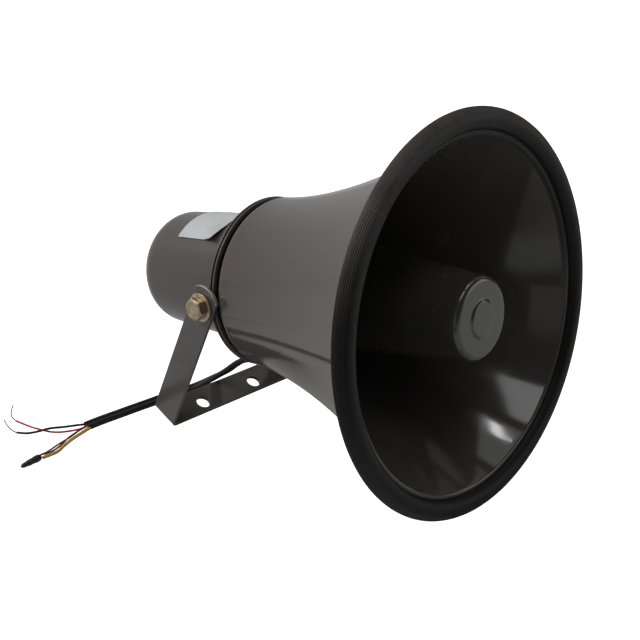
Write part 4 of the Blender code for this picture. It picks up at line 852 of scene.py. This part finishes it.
class HORN_OT_reflector(bpy.types.Operator):
    """Reflector with its closed nose, and the legs that carry it."""
    bl_idname = "horn.reflector"
    bl_label = "Reflector"

    def execute(self, context):
        sizes, colours = context.scene.horn_sizes, context.scene.horn_colours
        nose, skirt = sizes.nose_radius, sizes.skirt_radius
        roof, disc = NOSE_FACE - REFLECTOR_WALL, NOSE_FACE + DISC_RISE
        inner = rounded([(0.0, roof, 0.0), (nose - REFLECTOR_WALL, roof, NOSE_INNER_EDGE_R),
                         (skirt - REFLECTOR_WALL, SKIRT_END, 0.0)])
        outer = rounded([(skirt, SKIRT_END, 0.0), (nose, NOSE_FACE, NOSE_EDGE_R),
                         (DISC_FOOT_R, NOSE_FACE, DISC_EDGE_R), (DISC_TOP_R, disc, DISC_EDGE_R),
                         (0.0, disc, 0.0)], steps=10)
        outline = np.vstack([filled_in(inner, longest=0.006), filled_in(outer, longest=0.006)])
        piece = grid_piece("reflector_shell", revolve(outline, steps=160))
        moulding = nose_finish("nose_finish", colours.nose)
        dress(piece, moulding, replaces=("reflector",))
        for index in range(3):
            leg = grid_piece(f"reflector_leg_{index + 1}", self.leg(math.tau * (index / 3 + 0.25)))
            dress(leg, moulding)
        return {"FINISHED"}

    def leg(self, angle):
        """Grid of a straight leg with a rounded oblong section, at an angle round the horn."""
        deep, wide = LEG_HALF_DEPTH, LEG_HALF_WIDTH
        section = rounded([(0.0, -wide, 0.0), (deep, -wide, LEG_CORNER), (deep, wide, LEG_CORNER),
                           (-deep, wide, LEG_CORNER), (-deep, -wide, LEG_CORNER), (0.0, -wide, 0.0)], steps=3)
        section = section[:-1]
        c, s = math.cos(angle), math.sin(angle)
        ring = np.stack([section[:, 0] * c - section[:, 1] * s,
                         section[:, 0] * s + section[:, 1] * c], axis=1)
        size = np.array([0.0, 1.0, 1.0, 0.0])[:, None, None]
        rings = np.array([LEG_RING_R * c, LEG_RING_R * s]) + ring[None] * size
        heights = np.array([LEG_FROM, LEG_FROM, LEG_TO, LEG_TO])
        return horn_place(np.dstack([rings, np.repeat(heights[:, None], len(ring), axis=1)]))


class HORN_OT_joint(bpy.types.Operator):
    """Base plate and the two black seals of the joint."""
    bl_idname = "horn.joint"
    bl_label = "Joint"

    def execute(self, context):
        colours = context.scene.horn_colours
        base = rounded([
            (BASE_BORE_R, BASE_FRONT, 0.0), (FLANGE_R, BASE_FRONT, RIM_FILLET),
            (FLANGE_R, BASE_RIM_BACK, RIM_FILLET), (BASE_SPIGOT_R, BASE_RIM_BACK, RIM_FILLET),
            (BASE_SPIGOT_R, BASE_BACK, 0.0), (BASE_STEP_R, BASE_BACK, 0.0),
            (BASE_STEP_R, BASE_STEP, 0.0), (BASE_BORE_R, BASE_STEP, 0.0)], steps=3)
        piece = grid_piece("base_plate", revolve(base, steps=200), closed_u=True)
        dress(piece, satin_paint("base_paint", colours.cover), replaces=("horn_base",))
        black = black_rubber("seal_rubber", colours.gasket)
        for name, inner, front, back in (
                ("bell_gasket", BELL_HOLE_R, BELL_SEAL_FRONT, BELL_SEAL_BACK),
                ("cover_gasket", COVER_SEAL_R, COVER_SEAL_FRONT, COVER_SEAL_BACK)):
            section = np.array([(inner, front), (SEAL_R, front), (SEAL_R + SEAL_EDGE, 0.5 * (front + back)),
                                (SEAL_R, back), (inner, back)])
            points = revolve(section, steps=360, wobble=self.squeezed)
            dress(grid_piece(name + "_seal", points, closed_u=True), black, replaces=(name,))
        return {"FINISHED"}

    def squeezed(self, r, t, h):
        """The outer edge of a seal bulges unevenly, by sin 31 t sin (17 t + 0.6)."""
        bulge = SEAL_SQUEEZE * np.sin(31 * t) * np.sin(17 * t + 0.6)
        return np.where(r > SQUEEZED_FROM_R, r + bulge, r), h


class HORN_OT_cover(bpy.types.Operator):
    """Driver cover, a tapered can with a flange and two bolt bosses."""
    bl_idname = "horn.cover"
    bl_label = "Driver cover"

    def execute(self, context):
        sizes, colours = context.scene.horn_sizes, context.scene.horn_colours
        front, rear = sizes.cover_front, sizes.cover_rear
        roof = COVER_END + COVER_WALL
        inner = rounded([(0.0, roof, 0.0), (rear - COVER_WALL, roof, COVER_FILLET - COVER_WALL),
                         (front - COVER_WALL, COVER_FRONT, 0.0)], steps=12)
        outer = rounded([(FLANGE_R, COVER_FRONT, 0.0), (FLANGE_R, COVER_FLANGE_BACK, RIM_FILLET),
                         (front, COVER_FLANGE_BACK, COVER_FOOT_FILLET), (rear, COVER_END, COVER_FILLET),
                         (0.0, COVER_END, 0.0)], steps=16)
        outline = np.vstack([filled_in(inner, longest=0.006), filled_in(outer, longest=0.004)])
        paint = cover_finish("cover_paint", colours.cover)
        dress(grid_piece("cover_can", revolve(outline, steps=200)), paint, replaces=("driver_cover",))
        for side, label in SIDES:
            piece = grid_piece("bolt_boss_" + label, horn_place(self.boss(side)), closed_u=True)
            dress(piece, paint)
        return {"FINISHED"}

    def boss(self, side):
        """Grid of a round boss on the bolts' axis, cut flat where it meets the cover's front."""
        section = rounded([(BOSS_BORE_R, BOSS_FROM, 0.0), (BOSS_R, BOSS_FROM, 0.0),
                           (BOSS_R, BOSS_TO, BOSS_EDGE_R), (BOSS_BORE_R, BOSS_TO, 0.0)], steps=4)
        x, y, z = np.moveaxis(revolve(section, steps=64, place=np.asarray), -1, 0)
        return np.stack([side * z, x - BOLT_DROP, np.minimum(y + BOLT_AXIS, BOSS_FRONT)], axis=-1)


class HORN_OT_bracket(bpy.types.Operator):
    """Strap bracket with eased edges."""
    bl_idname = "horn.bracket"
    bl_label = "Bracket"

    def execute(self, context):
        paint = strap_paint("bracket_paint", context.scene.horn_colours.strap)
        piece = copied("bracket", "strap_bracket", STRAP_EDGE_R)
        dress(piece, paint, body="bracket", replaces=("bracket",))
        return {"FINISHED"}


class HORN_OT_bolts(bpy.types.Operator):
    """Hexagon bolts and washers of the pivot."""
    bl_idname = "horn.bolts"
    bl_label = "Pivot bolts"

    def execute(self, context):
        zinc = plated_metal("yellow_zinc", context.scene.horn_colours.zinc, 0.6)
        bolt = filled_in(rounded([
            (0.0, -HEAD_HEIGHT, 0.0), (HEAD_TOP_R, -HEAD_HEIGHT, HEAD_EDGE_R),
            (HEAD_CORNER_R, HEAD_CHAMFER - HEAD_HEIGHT, 0.0), (HEAD_CORNER_R, 0.0, 0.0),
            (SHANK_R, 0.0, 0.0), (SHANK_R, SHANK_END - SHANK_CHAMFER, 0.0),
            (SHANK_R - SHANK_CHAMFER, SHANK_END, 0.0), (0.0, SHANK_END, 0.0)], steps=4), longest=0.0005)
        washer = rounded([(WASHER_BORE_R, -WASHER_THICK, 0.0), (WASHER_R, -WASHER_THICK, WASHER_EDGE_R),
                          (WASHER_R, 0.0, WASHER_SEAT_EDGE_R), (WASHER_BORE_R, 0.0, 0.0)], steps=4)
        bolt_seat = WASHER_SEAT + WASHER_THICK + GAP
        for side, label in SIDES:
            points = revolve(bolt, steps=192, place=bolt_place(side, bolt_seat), wobble=self.hexagon)
            piece = grid_piece("hex_bolt_" + label, points, sharp=25.0)
            dress(piece, zinc, replaces=("pivot_bolt_" + label,))
            points = revolve(washer, steps=96, place=bolt_place(side, WASHER_SEAT))
            piece = grid_piece("washer_" + label, points, closed_u=True)
            dress(piece, zinc, replaces=("bolt_washer_" + label,))
        return {"FINISHED"}

    def hexagon(self, r, t, h):
        """Beyond the shank, r is cut to half / cos(t), with t from the middle of the nearest flat."""
        sixth = math.pi / 6
        flat = HEAD_HALF / np.cos((t - HEAD_TURN + sixth) % (2 * sixth) - sixth)
        return np.where(r > 1.25 * SHANK_R, np.minimum(r, flat), r), h


class HORN_OT_label(bpy.types.Operator):
    """Blank label round the cover with a curled corner."""
    bl_idname = "horn.label"
    bl_label = "Label"

    def execute(self, context):
        sizes, colours = context.scene.horn_sizes, context.scene.horn_colours
        back, angle = np.meshgrid(np.linspace(LABEL_FROM, LABEL_TO, 60),
                                  np.linspace(LABEL_START, LABEL_END, 90), indexing="ij")
        low = self.underside(sizes, back, angle)
        layers = [np.stack([r * np.cos(angle), r * np.sin(angle), -back], axis=-1)
                  for r in (low, low + LABEL_THICK)]
        sheet = np.concatenate([layers[0], layers[1][:, ::-1]], axis=1)
        ends = [0.5 * (layers[0][row] + layers[1][row]) for row in (0, -1)]
        first, last = [np.concatenate([end, end[::-1]])[None] for end in ends]
        piece = grid_piece("paper_label", horn_place(np.concatenate([first, sheet, last])))
        dress(piece, label_paper("label_finish", colours.label), replaces=("label",))
        return {"FINISHED"}

    def underside(self, sizes, back, angle):
        """Radius of the sheet: the cover's taper, a ripple, and a corner lifted by (along across)^1.6."""
        share = (back + COVER_FLANGE_BACK) / (COVER_FLANGE_BACK - COVER_END)
        taper = sizes.cover_front + (sizes.cover_rear - sizes.cover_front) * share
        along = np.clip(1.0 - (back - LABEL_FROM) / CURL_LENGTH, 0.0, 1.0)
        across = np.clip(1.0 - (LABEL_END - angle) / CURL_ANGLE, 0.0, 1.0)
        ripple = LABEL_RIPPLE * np.sin(angle * 41.0) * np.sin(back * 620.0)
        return taper + GAP + CURL_RISE * (along * across) ** 1.6 + np.maximum(ripple, 0.0)


class HORN_OT_cables(bpy.types.Operator):
    """Two cables, the cores they end in, bare strands and the taped end."""
    bl_idname = "horn.cables"
    bl_label = "Cables"

    def execute(self, context):
        sizes, colours = context.scene.horn_sizes, context.scene.horn_colours
        black = cable_plastic("cable_sheath", colours.cable, 0.44)
        copper = stranded_copper("bare_strands", colours.copper)
        ends = {}
        for core, node, route in (("core_black", "strand_black", BLACK_STRAND_ROUTE),
                                  ("core_red", "strand_red", RED_STRAND_ROUTE)):
            piece = tube("bare_" + node, smooth_route(route, spacing=0.0012), STRAND_R, sides=10)
            ends[core] = [dress(piece, copper, replaces=(node,))]
        ends["core_yellow"] = [dress(self.taped_end(), tape_wrap("tape", colours.tape),
                                     replaces=("taped_end",))]
        for name, route in (("cable_sheath_a", SHEATH_A_ROUTE), ("cable_sheath_b", SHEATH_B_ROUTE)):
            path = smooth_route(route, spacing=0.0025)
            skin = tube(name + "_skin", path, 0.5 * sizes.cable, sides=20)
            piece = dress(skin, black, replaces=(name,))
            self.declare(piece, path, sizes.cable, "bare")
        for name, route, diameter, finish_name, tone, far_end in CORES:
            finish = cable_plastic(finish_name, getattr(colours, tone), 0.27)
            path = smooth_route(route, spacing=0.0015)
            skin = tube(name + "_skin", path, 0.5 * diameter, sides=14)
            piece = dress(skin, finish, replaces=(name,))
            self.declare(piece, path, diameter, far_end, ends.get(name, []))
        return {"FINISHED"}

    def taped_end(self):
        """Wound bundle: a blunt body, sqrt(1 - (2 s - 1)^8), that narrows and waists along its run."""
        start, end = np.array(TAPE_ROUTE) * MM
        share = np.linspace(0.0, 1.0, 60)
        body = TAPE_R * np.sqrt(np.clip(1.0 - (2.0 * share - 1.0) ** 8, 0.0, 1.0))
        taper = 0.97 - 0.38 * share ** 1.3 - 0.06 * np.sin(share * 9.0 + 0.8) ** 2
        path = start + (end - start) * share[:, None]
        return tube("tape_bundle", path, np.maximum(body * taper, TAPE_LEAST_R), sides=24)

    def declare(self, piece, path, diameter, far_end, held=()):
        """Does nothing with the piece; it is not declared a free cord."""


class HORN_OT_hidden(bpy.types.Operator):
    """Finishes of the screws, driver and transformer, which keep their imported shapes."""
    bl_idname = "horn.hidden"
    bl_label = "Screws and driver"

    def execute(self, context):
        colours = context.scene.horn_colours
        dress_cad(plated_metal("bright_zinc", colours.bright, 0.7),
                  *numbered("cover_screw", 4), *numbered("reflector_screw", 3), *numbered("driver_screw", 3),
                  "clamp_screw_left", "clamp_screw_right", "transformer_clamp")
        dress_cad(black_rubber("grommet_rubber", colours.rubber), "cable_grommet")
        dress_cad(mottled("driver_casting", (0.30, 0.30, 0.29), 0.5, 0.7), "driver_front", "phase_plug")
        dress_cad(mottled("magnet_steel", (0.45, 0.44, 0.40), 0.4, 0.9), "top_plate", "yoke")
        dress_cad(mottled("ferrite", (0.045, 0.045, 0.048), 0.7), "magnet")
        dress_cad(mottled("diaphragm_film", (0.42, 0.26, 0.11), 0.35), "diaphragm")
        dress_cad(mottled("coil_copper", (0.62, 0.30, 0.16), 0.35, 0.9), "voice_coil")
        dress_cad(mottled("ring_card", (0.23, 0.12, 0.05), 0.6), "diaphragm_ring", "terminal_board")
        dress_cad(mottled("laminations", (0.12, 0.115, 0.11), 0.55, 0.5, 60.0, 1600.0), "transformer_core")
        dress_cad(mottled("winding_tape", (0.55, 0.42, 0.08), 0.4), "transformer_winding")
        dress_cad(mottled("tag_brass", (0.56, 0.43, 0.18), 0.35, 0.9), *numbered("terminal_tag", 3))
        return {"FINISHED"}


class HORN_OT_stage(bpy.types.Operator):
    """Floor, world, lamps and camera."""
    bl_idname = "horn.stage"
    bl_label = "Stage"

    def execute(self, context):
        scene = context.scene
        scene.view_settings.view_transform = "Standard"
        self.floor()
        self.world(scene)
        for lamp in LAMPS:
            self.lamp(scene, *lamp)
        self.camera(scene)
        return {"FINISHED"}

    def floor(self):
        """White floor to the camera. In reflections it glows far off, and has a painted shadow round one spot
        and painted shade to the left.
        """
        extent = np.linspace(-FLOOR_REACH, FLOOR_REACH, 3)
        x, y = np.meshgrid(extent, extent, indexing="ij")
        floor = grid_piece("floor", np.stack([x, y, np.zeros_like(x)], axis=-1), closed_v=False)
        finish = Finish("floor_white")
        seen = finish.node("LightPath", output="Is Camera Ray")
        spot = finish.place()
        x, y = finish.split(spot)[:2]
        # Painted shadow round one spot in front of the horn and painted shade to the left, seen only in
        # reflections and bounced light.
        away = finish.node("VectorMath", {"operation": "DISTANCE"}, {0: spot, 1: PAINTED_SHADOW_SPOT}, output=1)
        lit = finish.step(away, 0.12, 0.42) * finish.step(x, -0.8, -0.1, 0.6, 1.0)
        shaded = finish.mix(lit, (0.07, 0.07, 0.07), (0.80, 0.80, 0.80))
        finish.paint(finish.mix(seen, shaded, (0.98, 0.98, 0.98)), 0.8, specular=0.2)
        reach = finish.length(spot)
        behind = finish.step(y, -0.2, 0.4)
        beside = finish.step(x, -1.1, -0.4, 1.0, 0.0) * (1.0 - behind)
        far_off = (1.0 - seen) * finish.step(reach, 0.7, 2.0) * (behind + beside)
        share = seen * finish.step(reach, 0.3, 1.6, 0.90, 1.0) + far_off
        glow = finish.node("Emission", None, {
            "Color": (1.0, 1.0, 1.0, 1.0), "Strength": 0.52 - 0.24 * beside + seen})
        plain = Wire(finish, finish.shader.outputs[0])
        blend = finish.node("MixShader", None, {0: share, 1: plain, 2: glow})
        finish.feed(finish.tree.nodes["Material Output"].inputs["Surface"], blend)
        floor.data.materials.append(finish.material)

    def world(self, scene):
        """White to the camera; for light and reflections a pale wall behind on the left, dim in front."""
        scene.world = bpy.data.worlds.new("room")
        scene.world.use_nodes = True
        room = Pattern(scene.world.node_tree)
        where = room.node("TexCoord", output="Generated")
        total = 0.0
        for direction, low, high, dim, bright in WALLS:
            cosine = room.node("VectorMath", {"operation": "DOT_PRODUCT"}, {0: where, 1: direction}, output=1)
            total = total + room.step(cosine, low, high, dim, bright)
        seen = room.node("LightPath", output="Is Camera Ray")
        background = room.tree.nodes["Background"]
        room.feed(background.inputs["Color"], (1.0, 1.0, 1.0, 1.0))
        room.feed(background.inputs["Strength"], total * (1.0 - seen) + seen)

    def lamp(self, scene, name, place, target, width, height, watts):
        """Oblong lamp that faces its target."""
        light = bpy.data.lights.new(name, "AREA")
        light.shape = "RECTANGLE"
        light.size, light.size_y, light.energy = width, height, watts
        lamp = bpy.data.objects.new(name, light)
        lamp.location = place
        lamp.rotation_euler = (Vector(target) - Vector(place)).to_track_quat("-Z", "Y").to_euler()
        scene.collection.objects.link(lamp)

    def camera(self, scene):
        """Camera at the photograph's viewing angle."""
        data = bpy.data.cameras.new("photo_camera")
        data.sensor_width = CAMERA_SENSOR
        data.lens = CAMERA_LENS
        data.clip_start = 0.01
        camera = bpy.data.objects.new("photo_camera", data)
        turn = Euler([math.radians(angle) for angle in CAMERA_TURN])
        camera.matrix_world = Matrix.LocRotScale(Vector(CAMERA_PLACE), turn, None)
        scene.collection.objects.link(camera)
        scene.camera = camera


class HORN_PT_panel(bpy.types.Panel):
    """Sidebar panel with the builders, sizes and colours."""
    bl_idname = "HORN_PT_panel"
    bl_label = "Horn loudspeaker"
    bl_space_type = "VIEW_3D"
    bl_region_type = "UI"
    bl_category = "Horn"

    def draw(self, context):
        layout = self.layout
        for operator in OPERATORS:
            layout.operator(operator.bl_idname)
        for group in (context.scene.horn_sizes, context.scene.horn_colours):
            for key in group.bl_rna.properties.keys():
                if key not in ("rna_type", "name"):
                    layout.prop(group, key)


GROUPS = (HORN_PG_sizes, HORN_PG_colours)
OPERATORS = (HORN_OT_stage, HORN_OT_cables, HORN_OT_bell, HORN_OT_trim, HORN_OT_reflector,
             HORN_OT_joint, HORN_OT_cover, HORN_OT_bracket, HORN_OT_bolts, HORN_OT_label, HORN_OT_hidden)


def register():
    """Makes the operators, the panel and the scene's sizes and colours known to Blender."""
    for made in (*GROUPS, *OPERATORS, HORN_PT_panel):
        bpy.utils.register_class(made)
    bpy.types.Scene.horn_sizes = bpy.props.PointerProperty(type=HORN_PG_sizes)
    bpy.types.Scene.horn_colours = bpy.props.PointerProperty(type=HORN_PG_colours)


def unregister():
    """Takes away what register added."""
    del bpy.types.Scene.horn_colours
    del bpy.types.Scene.horn_sizes
    for made in reversed((*GROUPS, *OPERATORS, HORN_PT_panel)):
        bpy.utils.unregister_class(made)


def main():
    """Builds every piece and the stage."""
    register()
    bpy.ops.horn.stage()
    bpy.ops.horn.cables()
    bpy.ops.horn.bell()
    bpy.ops.horn.trim()
    bpy.ops.horn.reflector()
    bpy.ops.horn.joint()
    bpy.ops.horn.cover()
    bpy.ops.horn.bracket()
    bpy.ops.horn.bolts()
    bpy.ops.horn.label()
    bpy.ops.horn.hidden()


if __name__ == "__main__":
    main()
